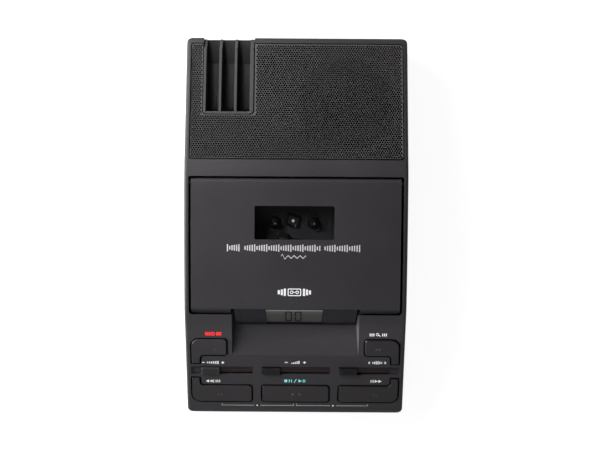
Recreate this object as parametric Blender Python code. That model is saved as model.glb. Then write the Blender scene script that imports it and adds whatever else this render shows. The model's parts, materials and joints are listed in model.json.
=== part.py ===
# Desktop dictation / transcription machine for mini cassettes.
# Sizes are in mm and go into Blender as metres.  +Z is up, +Y the rear, +X the user's right.
# Origin: centre of the footprint, on the plane that the rubber feet stand on.
import math
from itertools import count

import bmesh
import bpy

MM = 0.001

# ---------------------------------------------------------------- driving sizes
HALF_W = 76.0            # half the housing's width
Y_END = 130.9            # half the housing's depth
CORNER = 3.6             # plan radius of the housing's vertical corners
EDGE_R = 2.0             # rounding of the housing's top rim
WALL = 2.4               # moulded wall
Z_BASE = 3.0             # underside of the base shell, feet stand below it
Z_PART = 15.0            # parting line between base shell and top cover
GAP = 0.3                # assembly gap between neighbours
BASE_TOP = Z_PART - GAP / 2
COVER_BOTTOM = Z_PART + GAP / 2

# Upper surface, from the rear: flat grille deck, blend, gently curved crown, flat panel
Z_REAR = 49.2            # height at the rear edge
GRILLE_FRONT_Y, GRILLE_FRONT_Z = 43.0, 64.83
BLEND_SLOPE = 0.178      # slope at the rear of the blend
RIDGE_Y, RIDGE_Z = 31.0, 65.72
RIDGE_SLOPE = 0.03       # slope of the crown at the ridge
CROWN_CURVE = 0.00084    # quadratic fall of the crown, per mm
PANEL_Y, PANEL_Z = -56.0, 56.76    # rear edge of the control panel
PANEL_ANGLE = math.radians(23.0)
GRILLE_ANGLE = math.atan((GRILLE_FRONT_Z - Z_REAR) / (Y_END - GRILLE_FRONT_Y))

LID_X, LID_FRONT = 71.3, -58.7
HINGE_Y, HINGE_Z, HINGE_R = 30.6, 62.6, 3.1
WINDOW_Y = 3.2           # centre of the lid's window

# Cassette deck, in the deck's own frame
DECK_Y, DECK_Z, DECK_SLOPE = 3.0, 62.76, 0.10444
WELL_HALF_X, WELL_HALF_Y = 29.3, 18.6
WELL_FLOOR, WELL_WALL = -15.0, 1.8
REEL_Y = -1.1
REELS = {"supply_hub": (-14.2, REEL_Y), "takeup_hub": (12.6, REEL_Y)}
MID_X = sum(x for x, y in REELS.values()) / 2
DRIVE = (MID_X, 13.4)
MOTOR = (37.0, -8.0)
IDLER_ARM, IDLER_REST = 13.0, math.radians(5.2)
DISC_TOP = -19.0         # top of all friction discs
DRIVE_GROOVE_R, MOTOR_GROOVE_R = 12.0, 3.0

SPEAKER = (30.0, 0.0)    # in the grille's frame
RACK_X = (-64.0, -29.6)
RACK_Y = (77.4, 130.7)
RACK_GAP = 0.4           # clearance of the rack in the cover
CONTROL_GAP = 0.35       # clearance around keys and knobs
SOCKET_Z = 26.0
SOCKET_X = {"headphone": 12.0, "foot_control": 34.0, "dc": 56.0}
SIDES = (("left", -1), ("right", 1))
LID_STATIONS = [22.0, 12.0, 2.0, -8.0, -18.0, -28.0, -38.0, -47.0]   # y of the lid's sections
STATIONS = [40.0, 37.0, 34.0, 31.0] + LID_STATIONS + [-56.0, -90.0]  # y of the housing's sections


def panel_z(y):
    """Height of the control panel's plane."""
    return PANEL_Z - (PANEL_Y - y) * math.tan(PANEL_ANGLE)


def top_z(y):
    """Height of the housing's upper surface along its length."""
    if y >= GRILLE_FRONT_Y:
        return GRILLE_FRONT_Z - (y - GRILLE_FRONT_Y) * math.tan(GRILLE_ANGLE)
    if y >= RIDGE_Y:
        d = GRILLE_FRONT_Y - y
        bend = (BLEND_SLOPE + RIDGE_SLOPE) / (2 * (GRILLE_FRONT_Y - RIDGE_Y))
        return GRILLE_FRONT_Z + BLEND_SLOPE * d - bend * d * d
    if y >= PANEL_Y:
        d = RIDGE_Y - y
        return RIDGE_Z - RIDGE_SLOPE * d - CROWN_CURVE * d * d
    return panel_z(y)


def below_top(stations, depth):
    """Side profile points at a depth below the upper surface."""
    return [(y, top_z(y) - depth) for y in stations]


def panel_v(y):
    """Distance up the control panel's slope for a point above ground position y."""
    return (y - PANEL_Y) / math.cos(PANEL_ANGLE)


def at_corners(x, y_front, y_rear):
    """The same place in the four corners of the footprint."""
    return {"front_left": (-x, y_front), "front_right": (x, y_front),
            "rear_left": (-x, y_rear), "rear_right": (x, y_rear)}


POSTS = at_corners(68.6, -68.0, 117.0)
FEET = at_corners(60, -112, 112)

# ---------------------------------------------------------------- scene and materials
for old in list(bpy.data.objects):
    bpy.data.objects.remove(old, do_unlink=True)


def material(name, color, rough, metal=0.0):
    m = bpy.data.materials.new(name)
    m.use_nodes = True
    shader = m.node_tree.nodes["Principled BSDF"]
    shader.inputs["Base Color"].default_value = (*color, 1.0)
    shader.inputs["Roughness"].default_value = rough
    shader.inputs["Metallic"].default_value = metal
    return m


BODY = material("charcoal_plastic", color=(0.058, 0.058, 0.062), rough=0.55)
DARK = material("black_plastic", color=(0.025, 0.025, 0.027), rough=0.5)
MESH = material("grille_metal", color=(0.05, 0.047, 0.047), rough=0.5, metal=0.3)
BUTTON = material("button_plastic", color=(0.035, 0.035, 0.038), rough=0.45)
SMOKE = material("smoked_lens", color=(0.02, 0.02, 0.026), rough=0.08)
LCD = material("lcd_glass", color=(0.12, 0.13, 0.11), rough=0.2)
STEEL = material("steel", color=(0.55, 0.55, 0.56), rough=0.3, metal=1.0)
BOARD = material("circuit_board", color=(0.05, 0.18, 0.08), rough=0.5)
RUBBER = material("rubber", color=(0.02, 0.02, 0.02), rough=0.85)
PAPER = material("speaker_paper", color=(0.03, 0.03, 0.03), rough=0.9)
FERRITE = material("ferrite", color=(0.05, 0.05, 0.055), rough=0.7)
BRASS = material("brass", color=(0.6, 0.45, 0.2), rough=0.3, metal=1.0)
NYLON = material("white_nylon", color=(0.7, 0.7, 0.66), rough=0.5)


def frame(name, y, z, angle):
    """Working frame tilted about X: local y runs up the slope, local z out of it."""
    empty = bpy.data.objects.new(name, None)
    bpy.context.scene.collection.objects.link(empty)
    empty.location = (0.0, y * MM, z * MM)
    empty.rotation_euler = (angle, 0.0, 0.0)
    return empty


PANEL = frame("panel_frame", PANEL_Y, PANEL_Z, PANEL_ANGLE)
GRILLE = frame("grille_frame", 85.0, top_z(85.0), -GRILLE_ANGLE)
DECK = frame("deck_frame", DECK_Y, DECK_Z, math.atan(DECK_SLOPE))
DISPLAY = frame("display_frame", -66.4, 43.0, math.radians(45.0))
WINDOW = frame("lid_window_frame", WINDOW_Y, top_z(WINDOW_Y),
               math.atan(RIDGE_SLOPE + 2 * CROWN_CURVE * (RIDGE_Y - WINDOW_Y)))
bpy.context.view_layer.update()


# ---------------------------------------------------------------- objects from shapes
# A shape is (vertices in mm, faces).
def make(name, shape, mat=None, parent=None, origin=(0, 0, 0)):
    """One object; its origin is given in its parent's frame."""
    verts, faces = shape
    ox, oy, oz = origin
    mesh = bpy.data.meshes.new(name)
    mesh.from_pydata([((x - ox) * MM, (y - oy) * MM, (z - oz) * MM) for x, y, z in verts],
                     [], faces)
    bm = bmesh.new()
    bm.from_mesh(mesh)
    bmesh.ops.recalc_face_normals(bm, faces=bm.faces)
    bm.to_mesh(mesh)
    bm.free()
    ob = bpy.data.objects.new(name, mesh)
    bpy.context.scene.collection.objects.link(ob)
    ob.location = [c * MM for c in origin]
    ob.parent = parent
    if mat is not None:
        mesh.materials.append(mat)
    return ob


tool_numbers = count(1)


def boolean(target, shape, parent, operation):
    """Apply a hidden helper of the given shape to the target."""
    tool = make("tool_%03d" % next(tool_numbers), shape, None, parent)
    tool.hide_render = True
    tool.display_type = "WIRE"
    m = target.modifiers.new(operation.lower() + "_" + tool.name, "BOOLEAN")
    m.operation = operation
    m.object = tool
    m.solver = "EXACT"


def cut(target, shape, parent=None):
    boolean(target, shape, parent, "DIFFERENCE")


def join(target, shape, parent=None):
    boolean(target, shape, parent, "UNION")


# ---------------------------------------------------------------- outlines
def arc(cx, cy, r, a0, a1, seg):
    angles = [a0 + (a1 - a0) * i / seg for i in range(seg + 1)]
    return [(cx + r * math.cos(a), cy + r * math.sin(a)) for a in angles]


def circle(cx, cy, r, n):
    angles = [2 * math.pi * i / n for i in range(n)]
    return [(cx + r * math.cos(a), cy + r * math.sin(a)) for a in angles]


def rect(x0, x1, y0, y1):
    return [(x0, y0), (x1, y0), (x1, y1), (x0, y1)]


def round_corners(corners, seg=4, grow=0.0):
    """Counter-clockwise polygon of (x, y, radius) corners, offset outwards by grow."""
    n = len(corners)
    lines = []                       # offset edges: point and direction
    for i in range(n):
        x0, y0, _ = corners[i]
        x1, y1, _ = corners[(i + 1) % n]
        length = math.hypot(x1 - x0, y1 - y0)
        dx, dy = (x1 - x0) / length, (y1 - y0) / length
        lines.append((x0 + dy * grow, y0 - dx * grow, dx, dy))
    out = []
    for i in range(n):
        ax, ay, adx, ady = lines[i - 1]
        bx, by, bdx, bdy = lines[i]
        det = adx * bdy - ady * bdx
        t = ((bx - ax) * bdy - (by - ay) * bdx) / det
        sign = 1 if det > 0 else -1  # convex or concave corner
        r = max(0.02, corners[i][2] + sign * grow)
        turn = math.acos(max(-1.0, min(1.0, adx * bdx + ady * bdy)))
        t -= r * math.tan(turn / 2)
        start_x, start_y = ax + adx * t, ay + ady * t
        cx, cy = start_x - ady * r * sign, start_y + adx * r * sign
        a0 = math.atan2(start_y - cy, start_x - cx)
        out += arc(cx, cy, r, a0, a0 + sign * turn, seg)
    return out


def round_rect(x0, x1, y0, y1, r, seg, grow=0.0):
    return round_corners([(x, y, r) for x, y in rect(x0, x1, y0, y1)], seg, grow)


def rotate(points, centre, angle):
    """Turn points about zero, then move them to the centre."""
    c, s = math.cos(angle), math.sin(angle)
    return [(centre[0] + x * c - y * s, centre[1] + x * s + y * c) for x, y in points]


# ---------------------------------------------------------------- shapes
def skin(rings):
    """Closed solid through 3D rings of equal length."""
    n = len(rings[0])
    last = n * (len(rings) - 1)
    faces = [tuple(range(n))[::-1], tuple(range(last, last + n))]
    for k in range(0, last, n):
        for i in range(n):
            j = (i + 1) % n
            faces.append((k + i, k + j, k + n + j, k + n + i))
    return [p for ring in rings for p in ring], faces


def stack(levels):
    """Solid through level outlines: [(outline, z), ...]."""
    return skin([[(x, y, z) for x, y in outline] for outline, z in levels])


def prism(outline, z0, z1):
    return stack([(outline, z0), (outline, z1)])


def box(x0, x1, y0, y1, z0, z1):
    return prism(rect(x0, x1, y0, y1), z0, z1)


def cylinder(centre, r, z0, z1, n):
    return prism(circle(*centre, r, n), z0, z1)


def extrude_x(profile, x0, x1):
    """Side profile [(y, z), ...] carried across the width."""
    return skin([[(x, y, z) for y, z in profile] for x in (x0, x1)])


def rod_y(x, z, r, y0, y1, n):
    return skin([[(u, y, v) for u, v in circle(x, z, r, n)] for y in (y0, y1)])


def span(side, xa, xb):
    """An x range measured outwards from the centre, on side -1 or +1, in rising order."""
    return sorted((side * xa, side * xb))


def hinge_rod(r, side, xa, xb):
    return extrude_x(circle(HINGE_Y, HINGE_Z, r, 16), *span(side, xa, xb))


def lathe(centre, profile, n):
    """Closed (r, z) profile turned about a vertical axis; touching r = 0 gives a plug."""
    verts, faces, rings = [], [], []
    for r, z in profile:
        start = len(verts)
        if r < 1e-6:
            rings.append([start] * n)
            verts.append((*centre, z))
        else:
            rings.append([start + i for i in range(n)])
            verts += [(x, y, z) for x, y in circle(*centre, r, n)]
    for k, a in enumerate(rings):
        b = rings[(k + 1) % len(rings)]
        for i in range(n):
            j = (i + 1) % n
            face = tuple(dict.fromkeys((a[i], a[j], b[j], b[i])))
            if len(face) > 2:
                faces.append(face)
    return verts, faces


def turned(name, centre, profile, n, mat, origin_z, parent=None):
    """Lathe-turned object with its origin on its axis."""
    return make(name, lathe(centre, profile, n), mat, parent, (*centre, origin_z))


def housing(z_low, inset, drop, corner, rim, stations):
    """Housing volume: rounded plan corners and top rim, its top at drop(y) below top_z."""
    def setback(radius, d):
        """How far a rounding of this radius falls back at distance d from the end."""
        if d >= radius:
            return 0.0
        return radius - math.sqrt(max(0.0, radius ** 2 - (radius - d) ** 2))

    y_front, y_rear = inset - Y_END, Y_END - inset
    steps = [corner * s for s in (0.0, 0.13, 0.5, 1.0)]
    ends = [y_front + s for s in steps] + [y_rear - s for s in steps]
    middle = [y for y in stations if y_front + corner < y < y_rear - corner]
    rings = []
    for y in sorted({round(y, 4) for y in ends} | set(middle)):
        d = min(y - y_front, y_rear - y)
        hw = HALF_W - inset - setback(corner, d)
        zt = top_z(y) - drop(y) - setback(rim, d)
        if rim > 0:
            crown = arc(-hw + rim, zt - rim, rim, math.pi, math.pi / 2, 4)
            crown += arc(hw - rim, zt - rim, rim, math.pi / 2, 0, 4)
        else:
            crown = [(-hw, zt), (hw, zt)]
        rings.append([(x, y, z) for x, z in [(-hw, z_low)] + crown + [(hw, z_low)]])
    return skin(rings)


# ---------------------------------------------------------------- keys and faders
# Key rows: rear edge, front edge and tail end, as y on plan
REAR_ROW = (-76.8, -89.0, -95.0)
FRONT_ROW = (-110.5, -123.0, -104.9)


def key_corners(x_outer, x_inner, x_tail, row):
    """Key with a tail at its outer side that reaches towards the fader row."""
    y_rear, y_front, y_tail = row
    if y_tail < y_front:
        seq = [(x_outer, y_tail, 0.6), (x_tail, y_tail, 0.6), (x_tail, y_front, 2.4),
               (x_inner, y_front, 2.3), (x_inner, y_rear, 2.3), (x_outer, y_rear, 6.0)]
    else:
        seq = [(x_outer, y_front, 6.0), (x_inner, y_front, 2.3), (x_inner, y_rear, 2.3),
               (x_tail, y_rear, 2.4), (x_tail, y_tail, 0.8), (x_outer, y_tail, 0.8)]
    if x_outer > 0:                  # mirrored keys are listed backwards to stay counter-clockwise
        seq.reverse()
    return [(x, panel_v(y), r) for x, y, r in seq]


PLAY_KEY = rect(-23.6, 24.0, panel_v(FRONT_ROW[1]), panel_v(FRONT_ROW[0]))
REAR_SWITCH_V, FRONT_SWITCH_V = panel_v(-83.0), panel_v(-116.8)
# name: corners, place of the switch below, both in the panel's frame
KEYS = {
    "power": (key_corners(-72.4, -47.2, -65.8, REAR_ROW), (-57.0, REAR_SWITCH_V)),
    "search": (key_corners(72.4, 47.8, 66.4, REAR_ROW), (57.4, REAR_SWITCH_V)),
    "rewind": (key_corners(-72.6, -30.0, -66.2, FRONT_ROW), (-48.0, FRONT_SWITCH_V)),
    "wind": (key_corners(72.6, 30.2, 66.6, FRONT_ROW), (48.4, FRONT_SWITCH_V)),
    "stop_play": ([(x, v, 2.3) for x, v in PLAY_KEY], (0.2, FRONT_SWITCH_V)),
}
# name: slot x0, slot x1, knob x0, knob x1, travel
FADERS = {
    "speed": (-65.8, -29.6, -65.4, -52.6, 22.4),
    "volume": (-23.2, 24.4, -22.8, -10.4, 34.4),
    "tone": (30.6, 66.2, 31.0, 43.4, 22.4),
}
SLOT_V = (panel_v(-102.7), panel_v(-97.0))


# ---------------------------------------------------------------- housing parts
def cut_trough(cover):
    """Display trough: floor, cheeks, then the drafted hollow."""
    floor = [(-91.0, 40.5), (-66.1, 40.5), (-66.1, 43.6), (-85.6, 43.6), (-91.0, 41.3)]
    join(cover, extrude_x(floor, -46.0, 46.0))
    cheek = [(-91.5, 40.1), (-57.2, 40.1), (-57.2, 51.0), (-60.4, 51.0), (-60.4, 54.1),
             (-91.5, 41.0)]
    for _, side in SIDES:
        join(cover, extrude_x(cheek, *span(side, 41.75, 46.4)))
    half_width, draft = 43.7, 0.176  # half width at the panel's surface, its growth with height
    right = [(half_width + draft * (z - panel_z(y)), y, z)
             for y, z in rect(-93.0, -50.0, 43.0, 62.0)]
    cut(cover, skin([right, [(-x, y, z) for x, y, z in right]]))


def build_top_cover():
    cover = make("top_cover", housing(COVER_BOTTOM, 0.0, lambda y: 0.0, CORNER, EDGE_R,
                                      [100.0, 70.0, 43.0] + STATIONS), BODY)
    # cavity, with a thicker roof under the grille's seat
    cut(cover, housing(8.0, WALL, lambda y: 4.1 if y > 44.0 else WALL, 0.0, 0.0,
                       [100.0, 70.0, 44.2, 43.9] + STATIONS))
    # lid opening, grille seat, sound opening
    cut(cover, box(-72.5, 72.5, -59.6, 34.9, 25.0, 80.0))
    cut(cover, prism(round_rect(-72.9, 72.9, -38.9, 42.6, 2.0, 3), -1.6, 8.0), GRILLE)
    cut(cover, cylinder(SPEAKER, 32.3, -12.0, 8.0, 40), GRILLE)
    # opening for the cassette rack
    y0 = RACK_Y[0] - RACK_GAP
    opening = [(y0, 39.0), (125.0, 30.7), (131.3, 37.2), (140.0, 37.2), (140.0, 80.0), (y0, 80.0)]
    cut(cover, extrude_x(opening, RACK_X[0] - RACK_GAP, RACK_X[1] + RACK_GAP))
    cut_trough(cover)
    for corners, _ in KEYS.values():
        cut(cover, prism(round_corners(corners, 4, CONTROL_GAP), -6.0, 5.0), PANEL)
    for x0, x1, *_ in FADERS.values():
        cut(cover, box(x0, x1, *SLOT_V, -6.0, 5.0), PANEL)
    for _, side in SIDES:            # shallow outer ends of the side slots
        cut(cover, box(*span(side, 72.6, 65.5), *SLOT_V, -0.8, 5.0), PANEL)
    for x, y in POSTS.values():      # screw posts end inside the roof
        depth = 3.1 if y > 0 else 1.2
        join(cover, cylinder((x, y), 3.2, COVER_BOTTOM + GAP, top_z(y) - depth, 16))
        cut(cover, cylinder((x, y), 1.7, 8.0, 26.0, 12))
    for _, side in SIDES:
        cut(cover, hinge_rod(1.55, side, 70.0, 75.0))
    for name, r, n in (("headphone", 4.2, 20), ("foot_control", 7.4, 28), ("dc", 4.9, 20)):
        cut(cover, rod_y(SOCKET_X[name], SOCKET_Z, r, 120.0, 140.0, n))


def build_base_shell():
    def plan(grow):
        return round_rect(-HALF_W, HALF_W, -Y_END, Y_END, CORNER, 5, grow)

    chamfer = 1.2
    base = make("base_shell", stack([(plan(-chamfer), Z_BASE), (plan(0.0), Z_BASE + chamfer),
                                     (plan(0.0), BASE_TOP)]), BODY)
    cut(base, prism(plan(-WALL), Z_BASE + WALL, 20.0))
    for post in POSTS.values():      # post, screw hole, recess for the head
        join(base, cylinder(post, 4.2, Z_BASE + 1.5, BASE_TOP, 16))
        cut(base, cylinder(post, 1.8, 0.0, 20.0, 12))
        cut(base, cylinder(post, 3.3, 0.0, 8.0, 16))
    for k in range(7):               # vents under the loudspeaker
        y = 72.0 + 6.0 * k
        cut(base, prism(round_rect(10.0, 52.0, y, y + 2.4, 1.19, 3), 0.0, 12.0))


def build_feet_and_screws():
    foot = [(0, 0.0), (5.6, 0.0), (6.5, 0.8), (6.5, 2.7), (0, 2.7)]
    for label, place in FEET.items():
        turned("foot_" + label, place, foot, 24, RUBBER, 0)
    screw_profile = [(0, 5.3), (2.1, 5.3), (2.7, 5.9), (2.7, 7.6), (1.4, 7.6), (1.4, 23.0),
                     (0, 24.6)]
    for label, (x, y) in POSTS.items():
        screw = turned("case_screw_" + label, (x, y), screw_profile, 14, STEEL, 7.6)
        for dx, dy in ((1.6, 0.32), (0.32, 1.6)):    # cross recess
            cut(screw, box(x - dx, x + dx, y - dy, y + dy, 4.0, 6.4))


# ---------------------------------------------------------------- grille, loudspeaker, rack
def build_grille():
    corners = [(-72.5, -38.5, 1.6), (72.5, -38.5, 1.6), (72.5, 42.2, 1.6), (-29.0, 42.2, 0.3),
               (-29.0, -8.4, 2.0), (-64.6, -8.4, 2.0), (-64.6, 42.2, 0.3), (-72.5, 42.2, 1.6)]
    make("speaker_grille", prism(round_corners(corners, 3), -1.3, -0.1), MESH, GRILLE)


def build_speaker():
    basket = [(37.5, -4.6), (37.5, -5.8), (33.6, -5.8), (23.0, -19.0), (19.5, -19.0),
              (19.5, -22.0), (14.0, -22.0), (14.0, -18.0), (21.4, -18.0), (31.4, -4.6)]
    cone = [(0, -10.6), (5.5, -11.4), (10.0, -15.6), (27.4, -6.6), (28.6, -5.4), (29.9, -5.4),
            (29.9, -5.9), (28.9, -6.1), (27.6, -7.4), (10.4, -16.6), (10.4, -21.4),
            (9.6, -21.4), (9.6, -15.9), (5.0, -12.2), (0, -11.4)]
    magnet = [(0, -22.3), (19.0, -22.3), (19.0, -24.0), (21.0, -24.0), (21.0, -30.0),
              (18.5, -30.0), (18.5, -31.6), (0, -31.6)]
    turned("speaker_frame", SPEAKER, basket, 32, STEEL, -4.6, GRILLE)
    turned("speaker_cone", SPEAKER, cone, 32, PAPER, -5.4, GRILLE)
    turned("speaker_magnet", SPEAKER, magnet, 28, FERRITE, -22.3, GRILLE)


def build_rack():
    """Three slots with a raked floor at the rear, open to the rear."""
    y0, y1 = RACK_Y
    floor = 25.0
    proud = 0.15                     # height above the housing's surface
    side = [(y0, 23.0), (117.3, 23.0), (y1, 37.0), (y1, 42.0), (126.5, 46.2)]
    side += below_top((123.5, y0), -proud)
    rack = make("cassette_rack", extrude_x(side, *RACK_X), DARK)
    slot = [(79.2, floor), (115.9, floor), (y1 + 5.0, floor + 18.9), (y1 + 5.0, 80.0),
            (79.2, 80.0)]
    for x0, x1 in ((-62.2, -53.4), (-51.6, -42.8), (-41.0, -32.2)):
        cut(rack, extrude_x(slot, x0, x1))


def build_display():
    lens = [(-41.3, 0.35), (41.3, 0.35), (42.4, 14.5), (-42.4, 14.5)]
    make("display_lens", prism(lens, -1.5, 0.0), SMOKE, DISPLAY)
    make("lcd_panel", box(-25.0, 25.0, 1.4, 13.6, -4.3, -1.9), LCD, DISPLAY)


# ---------------------------------------------------------------- cassette lid
def build_lid():
    # side profile: hinge barrel, top, front lip, underside
    profile = [(HINGE_Y + HINGE_R * math.cos(a), HINGE_Z + HINGE_R * math.sin(a))
               for a in map(math.radians, (-110, -70, -35, 0, 25, 50, 70))]
    profile += below_top([HINGE_Y] + LID_STATIONS + [-54.4], 0.0)
    profile += [(-56.0, top_z(-55.0) - 0.75), (LID_FRONT, 53.5), (LID_FRONT, 51.9),
                (-56.9, 51.9), (-55.0, 54.6)]
    profile += below_top([-53.0] + LID_STATIONS[::-1] + [26.5], 2.2)
    lid = make("cassette_lid", extrude_x(profile, -LID_X, LID_X), BODY,
               origin=(0, HINGE_Y, HINGE_Z))
    # skirts down both sides
    skirt = below_top([28.0] + LID_STATIONS + [-54.0], 1.4) + [(-57.6, 53.4), (-57.6, 52.0)]
    skirt += below_top([-52.0] + LID_STATIONS[::-1] + [27.0], 6.0)
    for _, side in SIDES:
        join(lid, extrude_x(skirt, *span(side, LID_X, LID_X - 2.0)))
    # notch in the front lip, window opening
    cut(lid, box(-44.2, 44.2, -62.0, -55.7, 45.0, 60.0))
    cut(lid, prism(round_rect(-27.1, 27.1, -11.3, 11.4, 1.0, 3), -6.0, 6.0), WINDOW)
    for label, side in SIDES:
        cut(lid, hinge_rod(1.4, side, 65.0, 80.0))
        make("hinge_pin_" + label, hinge_rod(1.2, side, 65.6, 74.6), STEEL,
             origin=(side * 70.0, HINGE_Y, HINGE_Z))


def build_lid_window():
    """Flanged pane held from below."""
    flange = round_rect(-29.2, 29.2, -13.4, 13.5, 1.5, 3)
    pane = round_rect(-26.8, 26.8, -11.0, 11.1, 0.8, 3)
    make("lid_window", stack([(flange, -3.9), (flange, -2.9), (pane, -2.85), (pane, -0.6)]),
         SMOKE, WINDOW)


def build_cassette_springs():
    """Leaf springs on the lid's underside that hold a cassette down."""
    leaf = [(-42.0, -4.05), (-27.0, -3.25), (-17.5, -6.3), (-15.2, -5.5),
            (-14.9, -5.9), (-17.4, -6.85), (-27.2, -3.7), (-42.0, -4.5)]
    for label, side in SIDES:
        make("cassette_spring_" + label, extrude_x(leaf, *span(side, 15.0, 21.0)), STEEL, WINDOW)


# ---------------------------------------------------------------- cassette deck
IDLER = rotate([(0.0, -IDLER_ARM)], DRIVE, -IDLER_REST)[0]
# slot in which the idler arm's post swings
IDLER_SLOT = round_rect(IDLER[0] - 1.9, IDLER[0] + 4.2, IDLER[1] - 1.9, IDLER[1] + 1.9, 1.2, 3)


def build_deck_bezel():
    outline = [(-72.0, -62.2), (-46.9, -62.2), (-46.9, -55.4), (46.9, -55.4),
               (46.9, -62.2), (72.0, -62.2), (72.0, 29.6), (-72.0, 29.6)]
    bezel = make("deck_bezel", prism(outline, -10.2, -8.0), DARK, DECK)
    well = (MID_X - WELL_HALF_X, MID_X + WELL_HALF_X, REEL_Y - WELL_HALF_Y, REEL_Y + WELL_HALF_Y)
    join(bezel, prism(round_rect(*well, 2.0, 3, WELL_WALL), WELL_FLOOR - WELL_WALL, -8.6), DECK)
    cut(bezel, prism(round_rect(*well, 2.0, 3), WELL_FLOOR, 0.0), DECK)
    for centre in REELS.values():
        cut(bezel, cylinder(centre, 4.6, -20.0, -10.0, 24), DECK)
    cut(bezel, prism(IDLER_SLOT, -20.0, -10.0), DECK)
    # head opening, finger slot behind the well
    cut(bezel, box(-12.8, -4.4, -18.6, -10.6, -20.0, -10.0), DECK)
    cut(bezel, box(-24.0, 22.0, 20.5, 24.5, -20.0, 0.0), DECK)


def build_deck_plate():
    outline = round_rect(-48.0, 52.0, -30.0, 29.0, 2.0, 3)
    plate = make("deck_plate", prism(outline, -18.3, -17.1), STEEL, DECK)
    for centre in REELS.values():
        cut(plate, cylinder(centre, 3.4, -22.0, -12.0, 20), DECK)
    cut(plate, prism(IDLER_SLOT, -22.0, -12.0), DECK)
    cut(plate, box(-12.8, -4.4, -24.0, -10.6, -22.0, -12.0), DECK)


def build_reels():
    """Spindles that turn the cassette's hubs, each with a friction disc under the deck."""
    profile = [(0, -22.2), (1.6, -22.2), (1.6, -21.6), (9.0, -21.6), (9.0, DISC_TOP),
               (3.0, DISC_TOP), (3.0, -14.6), (3.9, -14.4), (3.9, -13.6), (2.3, -13.4),
               (2.3, -9.6), (1.2, -8.4), (0, -8.2)]
    for name, centre in REELS.items():
        reel = turned(name, centre, profile, 28, DARK, DISC_TOP, DECK)
        for k in range(3):           # driving fins, tapered at the top
            angle = math.radians(90 + 120 * k)
            fin = rotate(rect(1.0, 3.4, -0.45, 0.45), centre, angle)
            tip = rotate(rect(0.9, 2.3, -0.3, 0.3), centre, angle)
            join(reel, stack([(fin, -13.9), (fin, -10.2), (tip, -9.0)]), DECK)


def build_drive():
    """Drive wheel (friction disc above, belt pulley below), its fixed axle, motor pulley."""
    wheel = [(1.45, -26.4), (1.45, DISC_TOP), (9.85, DISC_TOP), (9.85, -21.4), (2.1, -21.4),
             (2.1, -23.6), (12.8, -23.6), (DRIVE_GROOVE_R, -24.4), (DRIVE_GROOVE_R, -25.6),
             (12.8, -26.4)]
    axle = [(0, -27.9), (2.6, -27.9), (2.6, -26.9), (1.15, -26.9), (1.15, -18.6), (0, -18.6)]
    pulley = [(0.95, -26.4), (0.95, -23.0), (3.8, -23.0), (3.8, -23.6),
              (MOTOR_GROOVE_R, -24.4), (MOTOR_GROOVE_R, -25.6), (3.8, -26.4)]
    turned("drive_wheel", DRIVE, wheel, 32, NYLON, DISC_TOP, DECK)
    turned("drive_axle", DRIVE, axle, 16, STEEL, -18.6, DECK)
    turned("motor_pulley", MOTOR, pulley, 20, BRASS, -25.0, DECK)


def build_motor():
    profile = [(0, -46.4), (2.4, -46.4), (2.4, -45.6), (11.0, -45.6), (12.0, -44.6),
               (12.0, -29.6), (11.4, -29.0), (3.0, -29.0), (3.0, -28.4), (0.65, -28.4),
               (0.65, -23.4), (0, -23.4)]
    turned("drive_motor", MOTOR, profile, 28, STEEL, -29.0, DECK)


def build_motor_bracket():
    x, y = MOTOR
    x0, x1 = x - 13.0, x + 13.0
    bracket = make("motor_bracket", box(x0, x1, y - 15.0, y + 13.0, -28.1, -27.1), STEEL, DECK)
    # upright web, then the flange under the deck plate
    join(bracket, box(x0, x1, y - 15.0, y - 13.8, -28.1, -18.6), DECK)
    join(bracket, box(x0, x1, y - 20.0, y - 13.8, -19.6, -18.6), DECK)
    cut(bracket, cylinder(MOTOR, 4.4, -32.0, -24.0, 20), DECK)


def belt_loop(offset):
    """Loop around both pulleys, standing off their grooves by offset."""
    dx, dy = MOTOR[0] - DRIVE[0], MOTOR[1] - DRIVE[1]
    angle = math.atan2(dy, dx)
    wrap = math.acos((DRIVE_GROOVE_R - MOTOR_GROOVE_R) / math.hypot(dx, dy))
    points = arc(*DRIVE, DRIVE_GROOVE_R + offset, angle + wrap, angle + 2 * math.pi - wrap, 18)
    return points + arc(*MOTOR, MOTOR_GROOVE_R + offset, angle - wrap, angle + wrap, 8)


def build_belt():
    inner, outer = belt_loop(0.35), belt_loop(1.35)
    low, high = -25.5, -24.5
    n = len(inner)
    loops = ((inner, low), (outer, low), (outer, high), (inner, high))
    verts = [(x, y, z) for loop, z in loops for x, y in loop]
    faces = []
    for k in range(4):
        a, b = k * n, (k + 1) % 4 * n
        for i in range(n):
            j = (i + 1) % n
            faces.append((a + i, a + j, b + j, b + i))
    make("drive_belt", (verts, faces), RUBBER, DECK)


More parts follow.
